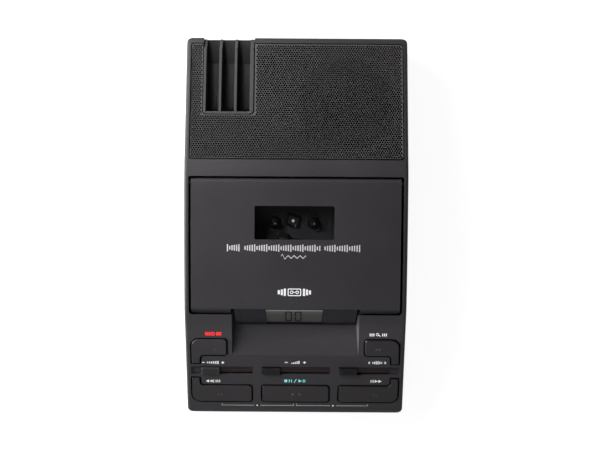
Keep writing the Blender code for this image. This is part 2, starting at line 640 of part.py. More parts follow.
def build_idler():
    """Arm that swings about the drive axle, its wheel between the two reel discs."""
    tip_y = -IDLER_ARM - 2.4
    corners = [(-2.4, tip_y, 2.2), (2.4, tip_y, 2.2), (4.0, 4.0, 3.6), (-4.0, 4.0, 3.6)]
    outline = rotate(round_corners(corners), DRIVE, -IDLER_REST)
    arm = make("idler_arm", prism(outline, -22.9, -22.0), STEEL, DECK, (*DRIVE, -22.4))
    cut(arm, cylinder(DRIVE, 2.45, -30.0, -15.0, 20), DECK)
    # post with a cap plate and a pointed pin
    join(arm, cylinder(IDLER, 1.2, -22.5, -14.3, 14), DECK)
    cap = rotate(round_rect(-4.9, 4.9, -4.2, 4.2, 0.7, 2), IDLER, math.radians(-17.0))
    join(arm, prism(cap, -14.7, -13.9), DECK)
    pin = [(0, -14.3), (1.0, -14.3), (1.0, -12.4), (0.6, -11.9), (0, -11.8)]
    join(arm, lathe(IDLER, pin, 14), DECK)
    wheel = [(1.4, -21.4), (3.0, -21.4), (3.0, DISC_TOP), (1.4, DISC_TOP)]
    turned("idler_wheel", IDLER, wheel, 24, RUBBER, -20.2, DECK)


def build_head():
    """Carriage that slides towards the cassette, with the playback head on it."""
    x, y = -8.6, -13.0               # origin of both parts
    carriage = make("head_carriage", box(-14.0, -3.2, -22.5, -10.8, -20.2, -19.0), STEEL, DECK,
                    (x, y, -19.0))
    join(carriage, box(-11.6, -5.6, -14.6, -11.8, -19.5, -15.3), DECK)
    corners = [(-12.2, -15.0, 0.2), (-5.0, -15.0, 0.2), (-5.0, -11.2, 1.4), (-12.2, -11.2, 1.4)]
    make("playback_head", prism(round_corners(corners, 3), -15.0, -9.8), STEEL, DECK,
         (x, y, -12.0))


# ---------------------------------------------------------------- controls
def build_control_board():
    make("control_board", box(-64.5, 64.5, panel_v(-124.0), panel_v(-75.0), -14.0, -12.4),
         BOARD, PANEL)


def build_keys():
    """Key caps with stems, and the switches below them."""
    for name, (corners, (x, v)) in KEYS.items():
        side = round_corners(corners, 4, -CONTROL_GAP)
        face = round_corners(corners, 4, -0.8)
        key = make(name + "_button", stack([(side, -3.6), (side, 0.2), (face, 0.6)]), BUTTON,
                   PANEL, (x, v, 0.0))
        join(key, cylinder((x, v), 1.9, -6.5, -3.2, 14), PANEL)
        switch = make(name + "_switch", box(x - 3.0, x + 3.0, v - 3.0, v + 3.0, -12.1, -8.9),
                      DARK, PANEL, (x, v, -10.5))
        join(switch, cylinder((x, v), 1.5, -9.2, -8.2, 12), PANEL)


def build_faders():
    """Slotted fader bodies and their sliding knobs, parked at the left."""
    v0, v1 = SLOT_V
    v = (v0 + v1) / 2
    for name, (x0, x1, k0, k1, travel) in FADERS.items():
        body = make(name + "_fader", box(x0 - 1.0, x1 + 1.0, v - 4.2, v + 4.2, -12.1, -3.9),
                    DARK, PANEL)
        cut(body, box(k0 + 2.6, k1 + travel - 2.6, v - 1.1, v + 1.1, -10.6, 0.0), PANEL)
        side = rect(k0, k1, v0 + CONTROL_GAP, v1 - CONTROL_GAP)
        face = rect(k0 + 0.6, k1 - 0.6, v0 + 0.95, v1 - 0.95)
        middle = (k0 + k1) / 2
        knob = make(name + "_knob", stack([(side, -2.9), (side, 0.9), (face, 1.5)]), DARK,
                    PANEL, (middle, v, 0.0))
        for i in range(4):           # grooves between the grip ribs
            x = k0 + 3.0 + 2.1 * i
            cut(knob, box(x, x + 0.7, v0, v1, 1.05, 4.0), PANEL)
        join(knob, box(middle - 3.0, middle + 3.0, v - 0.7, v + 0.7, -9.6, -2.5), PANEL)


# ---------------------------------------------------------------- main board and sockets
def socket(name, half_width, top, collar, bore, bore_front):
    """Socket body; collar and bore are (radius, segments), the bore starts at y bore_front."""
    x = SOCKET_X[name]
    body = make(name + "_socket", box(x - half_width, x + half_width, 114.0, 128.0, 12.3, top),
                DARK)
    join(body, rod_y(x, SOCKET_Z, collar[0], 127.0, 131.0, collar[1]))
    cut(body, rod_y(x, SOCKET_Z, bore[0], bore_front, 140.0, bore[1]))
    return body


def build_sockets():
    socket("headphone", 4.4, 30.4, collar=(3.9, 18), bore=(1.8, 14), bore_front=116.0)
    foot = socket("foot_control", 7.8, 33.6, collar=(7.0, 28), bore=(5.2, 24), bore_front=124.0)
    for k in range(6):               # contact holes
        [(x, z)] = arc(SOCKET_X["foot_control"], SOCKET_Z, 3.3, math.radians(-30 + 48 * k),
                       0.0, 1)[:1]
        cut(foot, rod_y(x, z, 0.55, 117.0, 126.0, 8))
    dc = socket("dc", 5.4, 31.4, collar=(4.6, 20), bore=(3.0, 18), bore_front=117.0)
    join(dc, rod_y(SOCKET_X["dc"], SOCKET_Z, 0.9, 116.0, 129.6, 12))    # centre pin


build_top_cover()
build_base_shell()
build_feet_and_screws()
build_grille()
build_speaker()
build_rack()
build_display()
build_lid()
build_lid_window()
build_cassette_springs()
build_deck_bezel()
build_deck_plate()
build_reels()
build_drive()
build_motor()
build_motor_bracket()
build_belt()
build_idler()
build_head()
build_control_board()
build_keys()
build_faders()
make("main_board", box(-24.0, 62.0, -56.0, 127.6, 10.4, 12.0), BOARD)
build_sockets()
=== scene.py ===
"""Looks of a desktop dictation and transcription machine, built round its CAD frame.

Shapes are in millimetres, meshes in metres. The body is centred on x = y = 0, with +X the
user's right, +Y the rear and +Z up. From front to rear lie the sloping key panel with its
tilted display, the hinged cassette lid and the falling speaker grille with a cassette rack.
"""
import bpy
import bmesh
import json
import math
from mathutils import Matrix, Vector

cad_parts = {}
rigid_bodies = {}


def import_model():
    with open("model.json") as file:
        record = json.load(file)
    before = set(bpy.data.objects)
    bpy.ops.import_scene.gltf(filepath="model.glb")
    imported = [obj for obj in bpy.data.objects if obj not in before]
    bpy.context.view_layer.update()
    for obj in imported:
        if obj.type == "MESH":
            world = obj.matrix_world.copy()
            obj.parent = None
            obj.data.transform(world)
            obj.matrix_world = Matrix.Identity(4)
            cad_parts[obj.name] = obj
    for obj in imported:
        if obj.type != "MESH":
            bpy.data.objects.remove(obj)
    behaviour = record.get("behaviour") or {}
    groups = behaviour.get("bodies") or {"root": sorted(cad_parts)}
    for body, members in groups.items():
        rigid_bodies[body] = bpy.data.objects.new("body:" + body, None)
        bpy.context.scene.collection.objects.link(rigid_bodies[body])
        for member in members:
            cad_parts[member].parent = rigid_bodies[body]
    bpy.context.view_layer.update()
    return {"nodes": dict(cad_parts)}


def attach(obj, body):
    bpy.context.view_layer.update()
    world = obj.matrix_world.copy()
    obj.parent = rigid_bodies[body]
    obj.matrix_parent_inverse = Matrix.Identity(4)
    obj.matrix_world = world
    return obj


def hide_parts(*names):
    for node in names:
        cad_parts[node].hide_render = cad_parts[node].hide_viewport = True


for old in list(bpy.data.objects):
    bpy.data.objects.remove(old, do_unlink=True)
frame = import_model()
NODES = frame["nodes"]
MM = 0.001
scene = bpy.context.scene

# ------------------------------------------------------------------ driving sizes (mm)
HALF_W, Y_END, CORNER, EDGE_R, WALL = 76.0, 130.9, 3.6, 2.0, 2.4
Z_BASE, Z_PART = 3.0, 15.0                            # underside, and joint of base and cover
GRILLE_Y, GRILLE_Z, REAR_Z = 43.0, 64.83, 49.2        # grille's front edge, and the rear edge
RIDGE_Y, RIDGE_Z = 31.0, 65.72
CROWN_SLOPE, CROWN_CURVE = 0.03, 0.00084              # fall of the lid in front of the ridge
PANEL_Y, PANEL_Z, PANEL_SLOPE = -56.0, 56.76, math.radians(23.0)    # rear edge of the panel
LID_X, LID_FRONT, LID_WINDOW_Y = 71.3, -58.7, 3.2
HINGE_Y, HINGE_Z, HINGE_R = 30.6, 62.6, 3.1
WELL_X, WELL_Y, WELL_FLOOR = 29.3, 18.6, -15.0        # half sizes, and depth below the deck
REEL_L, REEL_R, REEL_Y = -14.2, 12.6, -1.1
DRIVE_X, DRIVE_Y = -0.8, 13.4
IDLER_ARM, IDLER_REST = 13.0, math.radians(5.2)
IDLER_X = DRIVE_X - IDLER_ARM * math.sin(IDLER_REST)
IDLER_Y = DRIVE_Y - IDLER_ARM * math.cos(IDLER_REST)
GRILLE_SLOPE = math.atan((GRILLE_Z - REAR_Z) / (Y_END - GRILLE_Y))


def panel_z(y):
    return PANEL_Z - (PANEL_Y - y) * math.tan(PANEL_SLOPE)


def z_top(y):
    """Height of the machine's top surface."""
    if y >= GRILLE_Y:
        return GRILLE_Z - (y - GRILLE_Y) * math.tan(GRILLE_SLOPE)
    if y >= RIDGE_Y:
        ahead = GRILLE_Y - y
        return GRILLE_Z + 0.178 * ahead - 0.208 / 24.0 * ahead * ahead
    if y >= PANEL_Y:
        ahead = RIDGE_Y - y
        return RIDGE_Z - CROWN_SLOPE * ahead - CROWN_CURVE * ahead * ahead
    return panel_z(y)


def panel_v(y):
    """Distance along the panel's slope, from its rear edge."""
    return (y - PANEL_Y) / math.cos(PANEL_SLOPE)


def tilted(y, z, slope):
    return Matrix.Translation((0.0, y, z)) @ Matrix.Rotation(slope, 4, "X")


WORLD = Matrix.Identity(4)
PANEL = tilted(PANEL_Y, PANEL_Z, PANEL_SLOPE)
GRILLE = tilted(85.0, z_top(85.0), -GRILLE_SLOPE)
DECK = tilted(3.0, 62.76, math.atan(0.10444))
DISPLAY = tilted(-66.4, 43.0, math.radians(45.0))
LID_WINDOW = tilted(LID_WINDOW_Y, z_top(LID_WINDOW_Y),
                    math.atan(CROWN_SLOPE + 2 * CROWN_CURVE * (RIDGE_Y - LID_WINDOW_Y)))


# ------------------------------------------------------------------ outlines
def quarter(steps):
    """Angles from 0 to a quarter turn."""
    return [math.pi / 2 * i / steps for i in range(steps + 1)]


def arc(x, y, radius, start, end, steps):
    angles = [start + (end - start) * i / steps for i in range(steps + 1)]
    return [(x + radius * math.cos(a), y + radius * math.sin(a)) for a in angles]


def rounded(points, radii, steps=8, grow=0.0):
    """Counterclockwise polygon with rounded corners, offset outwards by grow."""
    if not isinstance(radii, (list, tuple)):
        radii = [radii] * len(points)
    sides = []
    for (x0, y0), (x1, y1) in zip(points, points[1:] + points[:1]):
        length = math.hypot(x1 - x0, y1 - y0)
        dx, dy = (x1 - x0) / length, (y1 - y0) / length
        sides.append((x0 + dy * grow, y0 - dx * grow, dx, dy))
    outline = []
    for i, radius in enumerate(radii):
        ax, ay, adx, ady = sides[i - 1]
        bx, by, bdx, bdy = sides[i]
        cross = adx * bdy - ady * bdx
        reach = ((bx - ax) * bdy - (by - ay) * bdx) / cross
        bend = 1 if cross > 0 else -1
        radius = max(0.02, radius + bend * grow)
        turn = math.acos(max(-1.0, min(1.0, adx * bdx + ady * bdy)))
        back = radius * math.tan(turn / 2)
        start_x, start_y = ax + adx * reach - adx * back, ay + ady * reach - ady * back
        cx, cy = start_x - ady * radius * bend, start_y + adx * radius * bend
        start = math.atan2(start_y - cy, start_x - cx)
        outline += arc(cx, cy, radius, start, start + bend * turn, steps)
    return outline


def rect(x0, x1, y0, y1):
    return [(x0, y0), (x1, y0), (x1, y1), (x0, y1)]


def round_rect(x0, x1, y0, y1, radii, steps=8, grow=0.0):
    return rounded(rect(x0, x1, y0, y1), radii, steps, grow)


def disc(x, y, radius, sides=48):
    angles = [2 * math.pi * i / sides for i in range(sides)]
    return [(x + radius * math.cos(a), y + radius * math.sin(a)) for a in angles]


def turned(points, x, y, angle):
    """Points turned about the origin, then moved to (x, y)."""
    c, s = math.cos(angle), math.sin(angle)
    return [(x + px * c - py * s, y + px * s + py * c) for px, py in points]


def both_sides(inner, outer):
    """The x span from inner to outer, on the left and on the right."""
    return (-outer, -inner), (inner, outer)


# ------------------------------------------------------------------ solids: (vertices, faces)
def walls(n, rings):
    return [(k * n + i, k * n + (i + 1) % n, (k + 1) * n + (i + 1) % n, (k + 1) * n + i)
            for k in range(rings - 1) for i in range(n)]


def stack(levels):
    """Solid through (outline, z) levels with equal point counts."""
    n, last = len(levels[0][0]), len(levels) - 1
    verts = [(x, y, z) for outline, z in levels for x, y in outline]
    caps = [tuple(range(n))[::-1], tuple(range(n * last, n * last + n))]
    return verts, caps + walls(n, len(levels))


def prism(outline, z0, z1):
    return stack([(outline, z0), (outline, z1)])


def box(x0, x1, y0, y1, z0, z1):
    return prism(rect(x0, x1, y0, y1), z0, z1)


def cyl(x, y, radius, z0, z1, sides=48):
    return prism(disc(x, y, radius, sides), z0, z1)


def slab_x(profile, x0, x1):
    """A (y, z) profile drawn out along x."""
    n = len(profile)
    verts = [(x, y, z) for x in (x0, x1) for y, z in profile]
    faces = [tuple(range(n)), tuple(range(n, 2 * n))[::-1]]
    faces += [(i, n + i, n + (i + 1) % n, (i + 1) % n) for i in range(n)]
    return verts, faces


def rod_x(y, z, radius, x0, x1, sides):
    return slab_x(disc(y, z, radius, sides), x0, x1)


def rod_y(x, z, radius, y0, y1, sides):
    verts, faces = slab_x(disc(x, z, radius, sides), y0, y1)
    return [(vx, vy, vz) for vy, vx, vz in verts], faces


def lathe(x, y, profile, sides):
    """A (radius, z) profile, which starts and ends on the axis, turned about (x, y)."""
    verts, rings, faces = [], [], []
    for radius, z in profile:
        first = len(verts)
        if radius < 1e-6:
            rings.append([first] * sides)
            verts.append((x, y, z))
        else:
            rings.append([first + i for i in range(sides)])
            verts += [(px, py, z) for px, py in disc(x, y, radius, sides)]
    for low, high in zip(rings, rings[1:]):
        for i in range(sides):
            j = (i + 1) % sides
            face = tuple(dict.fromkeys((low[i], low[j], high[j], high[i])))
            if len(face) > 2:
                faces.append(face)
    return verts, faces


def prisms(outlines, z0, z1):
    """Separate prisms in one mesh."""
    verts, faces = [], []
    for outline in outlines:
        more_verts, more_faces = prism(outline, z0, z1)
        faces += [tuple(i + len(verts) for i in face) for face in more_faces]
        verts += more_verts
    return verts, faces


# ------------------------------------------------------------------ mesh building
def mesh_object(name, shape, place):
    mesh = bpy.data.meshes.new(name)
    mesh.from_pydata([tuple((place @ Vector(v)) * MM) for v in shape[0]], [], shape[1])
    bm = bmesh.new()
    bm.from_mesh(mesh)
    bmesh.ops.recalc_face_normals(bm, faces=bm.faces)
    bm.to_mesh(mesh)
    bm.free()
    ob = bpy.data.objects.new(name, mesh)
    scene.collection.objects.link(ob)
    return ob


def cut(shape, place=WORLD):
    return "DIFFERENCE", shape, place


def add(shape, place=WORLD):
    return "UNION", shape, place


def within(shape, place=WORLD):
    return "INTERSECT", shape, place


def carve(ob, steps):
    """Applies cut, add and within steps in order."""
    tools = []
    for operation, shape, place in steps:
        tool = mesh_object("tool", shape, place)
        modifier = ob.modifiers.new("carve", "BOOLEAN")
        modifier.operation = operation
        modifier.object = tool
        modifier.solver = "EXACT"
        tools.append(tool)
    depsgraph = bpy.context.evaluated_depsgraph_get()
    mesh = bpy.data.meshes.new_from_object(ob.evaluated_get(depsgraph), depsgraph=depsgraph)
    ob.modifiers.clear()
    ob.data = mesh
    for tool in tools:
        mesh = tool.data
        bpy.data.objects.remove(tool, do_unlink=True)
        bpy.data.meshes.remove(mesh)


def soften(ob, width, segments, angle, where=None):
    """Rounds convex edges sharper than angle whose midpoint where(x, y, z) accepts."""
    bm = bmesh.new()
    bm.from_mesh(ob.data)
    merge = 0.004 * MM
    bmesh.ops.remove_doubles(bm, verts=bm.verts, dist=merge)
    bmesh.ops.dissolve_degenerate(bm, dist=merge, edges=bm.edges)
    picked = []
    for edge in bm.edges:
        if len(edge.link_faces) != 2 or math.degrees(edge.calc_face_angle_signed(0.0)) < angle:
            continue
        middle = (edge.verts[0].co + edge.verts[1].co) * 500.0    # half the sum, in mm
        if where is None or where(*middle):
            picked.append(edge)
    if picked:
        bmesh.ops.bevel(bm, geom=picked, offset=width * MM, offset_type="OFFSET",
                        segments=segments, profile=0.5, affect="EDGES",
                        clamp_overlap=True, loop_slide=True)
    bmesh.ops.recalc_face_normals(bm, faces=bm.faces)
    bm.to_mesh(ob.data)
    bm.free()


def shade(ob, angle):
    """Smooth shading, kept sharp at edges steeper than angle."""
    bm = bmesh.new()
    bm.from_mesh(ob.data)
    for face in bm.faces:
        face.smooth = True
    for edge in bm.edges:
        edge.smooth = len(edge.link_faces) == 2 and edge.calc_face_angle(3.0) < math.radians(angle)
    bm.to_mesh(ob.data)
    bm.free()
    normals = ob.modifiers.new("normals", "WEIGHTED_NORMAL")
    normals.keep_sharp = True
    normals.weight = 50
    normals.mode = "FACE_AREA"


def finish_piece(ob, materials, nodes, body):
    ob.data.materials.clear()
    for name in materials:
        ob.data.materials.append(MATERIALS[name])
    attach(ob, body)
    if nodes:
        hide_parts(*nodes)


def piece(name, shape, material, slot, *nodes, body="housing", place=WORLD,
          steps=(), bevel=None, smooth=32.0):
    """Builds one object; nodes are the CAD pieces it stands in for, smooth=None leaves it flat."""
    ob = mesh_object(name, shape, place)
    if steps:
        carve(ob, steps)
    if bevel:
        soften(ob, **bevel)
    if smooth:
        shade(ob, smooth)
    finish_piece(ob, [material], nodes, body)


# ------------------------------------------------------------------ shader nodes
class Graph:
    """Short ways to add nodes to a node tree."""

    def __init__(self, tree):
        self.tree = tree
        self.shader = tree.nodes.get("Principled BSDF")

    def fill(self, node, inputs):
        """Links sockets to the named inputs and sets plain values."""
        for key, value in inputs.items():
            if isinstance(value, bpy.types.NodeSocket):
                self.tree.links.new(value, node.inputs[key])
            else:
                node.inputs[key].default_value = value

    def node(self, kind, inputs, **settings):
        node = self.tree.nodes.new("ShaderNode" + kind)
        for key, value in settings.items():
            setattr(node, key, value)
        self.fill(node, inputs)
        return node

    def coords(self, output="Object"):
        return self.node("TexCoord", {}).outputs[output]

    def split(self, vector):
        return self.node("SeparateXYZ", {0: vector}).outputs

    def noise(self, vector, scale, detail, rough):
        return self.node("TexNoise", {"Scale": scale, "Detail": detail, "Roughness": rough,
                                      "Vector": vector}).outputs["Fac"]

    def ramp(self, factor, stops):
        """Colour ramp; stops are (position, colour or grey)."""
        node = self.node("ValToRGB", {"Fac": factor})
        elements = node.color_ramp.elements
        while len(elements) < len(stops):
            elements.new(0.5)
        for element, (position, colour) in zip(elements, stops):
            element.position = position
            rgb = colour if isinstance(colour, tuple) else (colour,) * 3
            element.color = (*rgb, 1.0)
        return node.outputs["Color"]

    def math(self, operation, a, b):
        return self.node("Math", {0: a, 1: b}, operation=operation).outputs[0]

    def fraction(self, value, low, high):
        return self.math("DIVIDE", self.math("SUBTRACT", value, low), high - low)

    def mix(self, inputs, **settings):
        return self.node("Mix", inputs, data_type="RGBA", **settings).outputs["Result"]

    def bump(self, height, strength, distance, **under):
        """Bump over the normal passed as Normal, if any."""
        inputs = {"Strength": strength, "Distance": distance, "Height": height, **under}
        return self.node("Bump", inputs).outputs["Normal"]

    def multiply_base(self, factor, stops):
        """Multiplies the shader's base colour by a ramp."""
        colour = self.shader.inputs["Base Color"].links[0].from_socket
        shaded = self.mix({"Factor": 1.0, "A": colour, "B": self.ramp(factor, stops)},
                          blend_type="MULTIPLY")
        self.fill(self.shader, {"Base Color": shaded})


MATERIALS = {}


def new_material(name):
    material = bpy.data.materials.new(name)
    material.use_nodes = True
    MATERIALS[name] = material
    return Graph(material.node_tree)


def scaled(colour, factor):
    return tuple(v * factor for v in colour)


def around(colour, vary, low=0.3, high=0.7):
    """Ramp stops from a darker to a lighter version of a colour."""
    return [(low, scaled(colour, 1 - vary)), (high, scaled(colour, 1 + vary))]


def moulded(name, colour, rough, grain, depth, vary, gloss, dust):
    """Moulded plastic with a fine grain, slow colour drift and faint dust on level faces."""
    graph = new_material(name)
    where = graph.coords()
    slow = graph.noise(where, scale=22.0, detail=4.0, rough=0.6)
    fine = graph.noise(where, scale=grain, detail=3.0, rough=0.65)
    middle = graph.noise(where, scale=grain * 0.28, detail=2.0, rough=0.5)
    blend = graph.math("ADD", graph.math("MULTIPLY", slow, 0.45),
                       graph.math("MULTIPLY", fine, 0.55))
    base = graph.ramp(blend, around(colour, vary, low=0.32, high=0.68))
    if dust > 0:
        normal = graph.split(graph.node("NewGeometry", {}).outputs["Normal"])
        level = graph.ramp(normal["Z"], [(0.72, 0.0), (0.98, 1.0)])
        specks = graph.noise(where, scale=900.0, detail=2.0, rough=0.5)
        specks = graph.ramp(specks, [(0.66, 0.0), (0.74, 1.0)])
        amount = graph.math("MULTIPLY", graph.math("MULTIPLY", level, specks), dust)
        base = graph.mix({"Factor": amount, "A": base, "B": (0.25, 0.25, 0.24, 1.0)})
    # A grained surface shades itself at a glancing view, so its gloss fades there.
    facing = graph.node("LayerWeight", {"Blend": 0.5}).outputs["Facing"]
    fade = graph.ramp(facing, [(0.74, 1.0), (0.95, 0.0)])
    graph.fill(graph.shader, {"Specular IOR Level": gloss})    # value without the fade
    coarse = graph.bump(middle, strength=0.35, distance=depth * 1.5)
    graph.fill(graph.shader, {
        "Base Color": base,
        "Roughness": graph.ramp(slow, [(0.3, rough - 0.05), (0.7, rough + 0.06)]),
        "Specular IOR Level": graph.math("MULTIPLY", fade, gloss),
        "Normal": graph.bump(fine, strength=0.75, distance=depth, Normal=coarse)})


def metal(name, colour, rough, stretch, scale):
    """Metal with fine drawn or turned lines."""
    graph = new_material(name)
    mapping = graph.node("Mapping", {"Scale": stretch, "Vector": graph.coords()})
    lines = graph.noise(mapping.outputs["Vector"], scale=scale, detail=5.0, rough=0.7)
    blotches = graph.noise(graph.coords(), scale=60.0, detail=3.0, rough=0.6)
    graph.fill(graph.shader, {
        "Base Color": graph.ramp(lines, [(0.3, scaled(colour, 0.82)), (0.7, colour)]),
        "Roughness": graph.ramp(blotches, [(0.3, rough - 0.07), (0.75, rough + 0.12)]),
        "Metallic": 1.0,
        "Normal": graph.bump(lines, strength=0.25, distance=0.00002)})


def simple(name, colour, rough, scale, vary, depth, gloss, painted_glow=0.0):
    """One noise drives colour, roughness and relief."""
    graph = new_material(name)
    grain = graph.noise(graph.coords(), scale=scale, detail=4.0, rough=0.6)
    graph.fill(graph.shader, {
        "Base Color": graph.ramp(grain, around(colour, vary)),
        "Roughness": graph.ramp(grain, [(0.25, max(0.02, rough - 0.08)), (0.75, rough + 0.08)]),
        "Specular IOR Level": gloss,
        "Coat Roughness": 0.06,
        "Normal": graph.bump(grain, strength=0.4, distance=depth)})
    # emission paints light onto parts that are no lamps
    if painted_glow > 0:
        graph.fill(graph.shader, {"Emission Color": (*colour, 1.0), "Emission Strength": painted_glow})


def lcd_ground():
    """Reflective display glass with a painted highlight that makes it brightest at the top; darker
    at the bottom edge.
    """
    graph = new_material("lcd_ground")
    where = graph.coords()
    height = graph.fraction(graph.split(where)["Z"], 0.0437, 0.0532)
    grain = graph.noise(where, scale=900.0, detail=2.0, rough=0.5)
    ripple = graph.math("MULTIPLY", graph.math("SUBTRACT", grain, 0.5), 0.05)
    # painted highlight towards the top of the display
    stops = [(0.02, (0.030, 0.030, 0.028)), (0.14, (0.062, 0.061, 0.056)),
             (0.50, (0.047, 0.049, 0.043)), (0.70, (0.056, 0.060, 0.053)),
             (0.86, (0.105, 0.110, 0.098))]
    graph.fill(graph.shader, {
        "Base Color": graph.ramp(graph.math("ADD", height, ripple), stops),
        "Roughness": 0.34, "Specular IOR Level": 0.3,
        "Coat Weight": 0.2, "Coat Roughness": 0.06})


def smoked_window():
    """Thin, dark, clear plastic."""
    rough = 0.05
    graph = new_material("smoked_window")
    drift = graph.noise(graph.coords(), scale=35.0, detail=3.0, rough=0.6)
    graph.fill(graph.shader, {
        "Base Color": graph.ramp(drift, around((0.004, 0.004, 0.005), 0.2)),
        "Roughness": graph.ramp(drift, [(0.25, rough * 0.9), (0.75, rough * 1.15)]),
        "Alpha": 0.17, "Specular IOR Level": 0.5,
        "Normal": graph.bump(drift, strength=0.02, distance=0.00001)})


# ------------------------------------------------------------------ materials
# name, colour, roughness, grain scale, grain depth (m), colour variation, gloss, dust
for row in (
    ("charcoal_shell", (0.0325, 0.0295, 0.0335), 0.56, 1500.0, 0.00005, 0.14, 0.4, 0.10),
    ("charcoal_lid", (0.0325, 0.0295, 0.0335), 0.54, 1700.0, 0.00004, 0.13, 0.4, 0.08),
    ("charcoal_base", (0.0305, 0.0278, 0.0315), 0.6, 1300.0, 0.00006, 0.14, 0.4, 0.0),
    ("key_cap", (0.0114, 0.0086, 0.0112), 0.34, 2400.0, 0.00002, 0.14, 0.45, 0.05),
    ("knob_cap", (0.0066, 0.0046, 0.0050), 0.42, 2200.0, 0.00002, 0.15, 0.32, 0.0),
    ("knob_cap_grey", (0.031, 0.0290, 0.0300), 0.5, 1900.0, 0.00003, 0.14, 0.4, 0.0),
    ("black_moulding", (0.010, 0.0098, 0.0105), 0.5, 1700.0, 0.00004, 0.2, 0.35, 0.0),
    ("spindle_black", (0.0045, 0.0044, 0.0047), 0.5, 1900.0, 0.00002, 0.2, 0.3, 0.0),
    # lighter than the other black mouldings: painted light under the lid, where little light
    # reaches
    ("deck_moulding", (0.056, 0.0525, 0.0570), 0.5, 1500.0, 0.00004, 0.16, 0.35, 0.0),
    # lighter than the shell: painted light in the deep, shaded cassette slots
    ("rack_moulding", (0.040, 0.0375, 0.0405), 0.52, 1600.0, 0.00004, 0.16, 0.4, 0.05),
    ("fader_groove", (0.0225, 0.0125, 0.0140), 0.55, 1800.0, 0.00003, 0.2, 0.3, 0.0),
    ("grille_paint", (0.0995, 0.0942, 0.0957), 0.46, 2600.0, 0.00002, 0.12, 0.45, 0.0),
):
    moulded(*row)

# name, colour, roughness, stretch of the lines, line scale
for row in (
    ("blackened_steel", (0.045, 0.045, 0.048), 0.42, (1.0, 60.0, 1.0), 90.0),
    ("plated_steel", (0.62, 0.62, 0.64), 0.3, (1.0, 60.0, 1.0), 90.0),
    ("bright_pin", (0.85, 0.85, 0.86), 0.16, (60.0, 60.0, 1.0), 120.0),
    ("turned_brass", (0.62, 0.45, 0.2), 0.28, (1.0, 1.0, 60.0), 100.0),
):
    metal(*row)

# name, colour, roughness, noise scale, colour variation, relief depth (m), gloss, painted glow if
# any
for row in (
    ("solder_resist", (0.020, 0.085, 0.035), 0.35, 260.0, 0.35, 0.00003, 0.5),
    ("foot_rubber", (0.014, 0.014, 0.015), 0.82, 700.0, 0.3, 0.00008, 0.25),
    # near-black painted shade for the grille's margin, hole walls, edges and underside
    ("punched_edge", (0.0035, 0.0033, 0.0034), 0.7, 900.0, 0.3, 0.00002, 0.1),
    # near-black backing under the grille: painted shade in its holes
    ("acoustic_cloth", (0.0022, 0.0021, 0.0022), 0.95, 1400.0, 0.4, 0.00006, 0.05),
    ("cone_paper", (0.020, 0.019, 0.018), 0.9, 420.0, 0.35, 0.00015, 0.15),
    ("ferrite", (0.040, 0.040, 0.044), 0.6, 500.0, 0.3, 0.00005, 0.4),
    ("white_nylon", (0.62, 0.62, 0.58), 0.45, 300.0, 0.05, 0.00002, 0.5),
    # white, glowing idler axle tip: a painted glint
    ("polished_tip", (0.85, 0.85, 0.84), 0.25, 300.0, 0.05, 0.00001, 0.6, 0.28),
    ("stop_pin_grey", (0.24, 0.24, 0.25), 0.4, 300.0, 0.08, 0.00001, 0.5),
    ("print_white", (0.70, 0.70, 0.71), 0.5, 1200.0, 0.06, 0.00001, 0.3),
    # the glow on these prints is painted light, brightening them beyond their ink
    ("print_bright_white", (0.85, 0.85, 0.86), 0.5, 1200.0, 0.06, 0.00001, 0.3, 0.20),
    ("print_soft_white", (0.50, 0.50, 0.51), 0.5, 1200.0, 0.08, 0.00001, 0.3, 0.15),
    ("print_red", (0.90, 0.022, 0.020), 0.5, 1200.0, 0.06, 0.00001, 0.3, 0.75),
    ("print_cyan", (0.21, 0.72, 0.68), 0.5, 1200.0, 0.06, 0.00001, 0.3, 0.30),
    ("key_mark_grey", (0.075, 0.070, 0.068), 0.5, 1200.0, 0.1, 0.00001, 0.3),
    ("lens_black", (0.0036, 0.0035, 0.0118), 0.16, 90.0, 0.25, 0.000004, 0.15),
    # glowing band: painted highlight along the top of the display
    ("lcd_top_band", (0.25, 0.255, 0.245), 0.35, 900.0, 0.06, 0.000006, 0.3, 0.17),
    ("lcd_segment", (0.0085, 0.0095, 0.0085), 0.4, 900.0, 0.2, 0.000006, 0.2),
):
    simple(*row)
lcd_ground()
smoked_window()


def coat_key_caps():
    graph = Graph(MATERIALS["key_cap"].node_tree)
    graph.fill(graph.shader, {"Coat Weight": 0.10, "Coat Roughness": 0.12})


def shade_grille_paint():
    """Painted shade on the grille: darker towards its left end, and in a soft disc over the
    loudspeaker.
    """
    graph = Graph(MATERIALS["grille_paint"].node_tree)
    across = graph.fraction(graph.split(graph.coords())["X"], -0.07, 0.07)
    # painted shade towards the left end
    graph.multiply_base(across, [(0.0, 0.57), (1.0, 1.0)])
    place = graph.split(graph.coords())
    dx = graph.math("SUBTRACT", place["X"], 0.0330)
    dy = graph.math("SUBTRACT", place["Y"], 0.0850)
    squares = graph.math("ADD", graph.math("MULTIPLY", dx, dx), graph.math("MULTIPLY", dy, dy))
    radius = graph.math("POWER", squares, 0.5)
    # painted shade in a soft disc over the loudspeaker
    graph.multiply_base(graph.fraction(radius, 0.0290, 0.0350), [(0.0, 0.80), (1.0, 1.0)])


coat_key_caps()
shade_grille_paint()


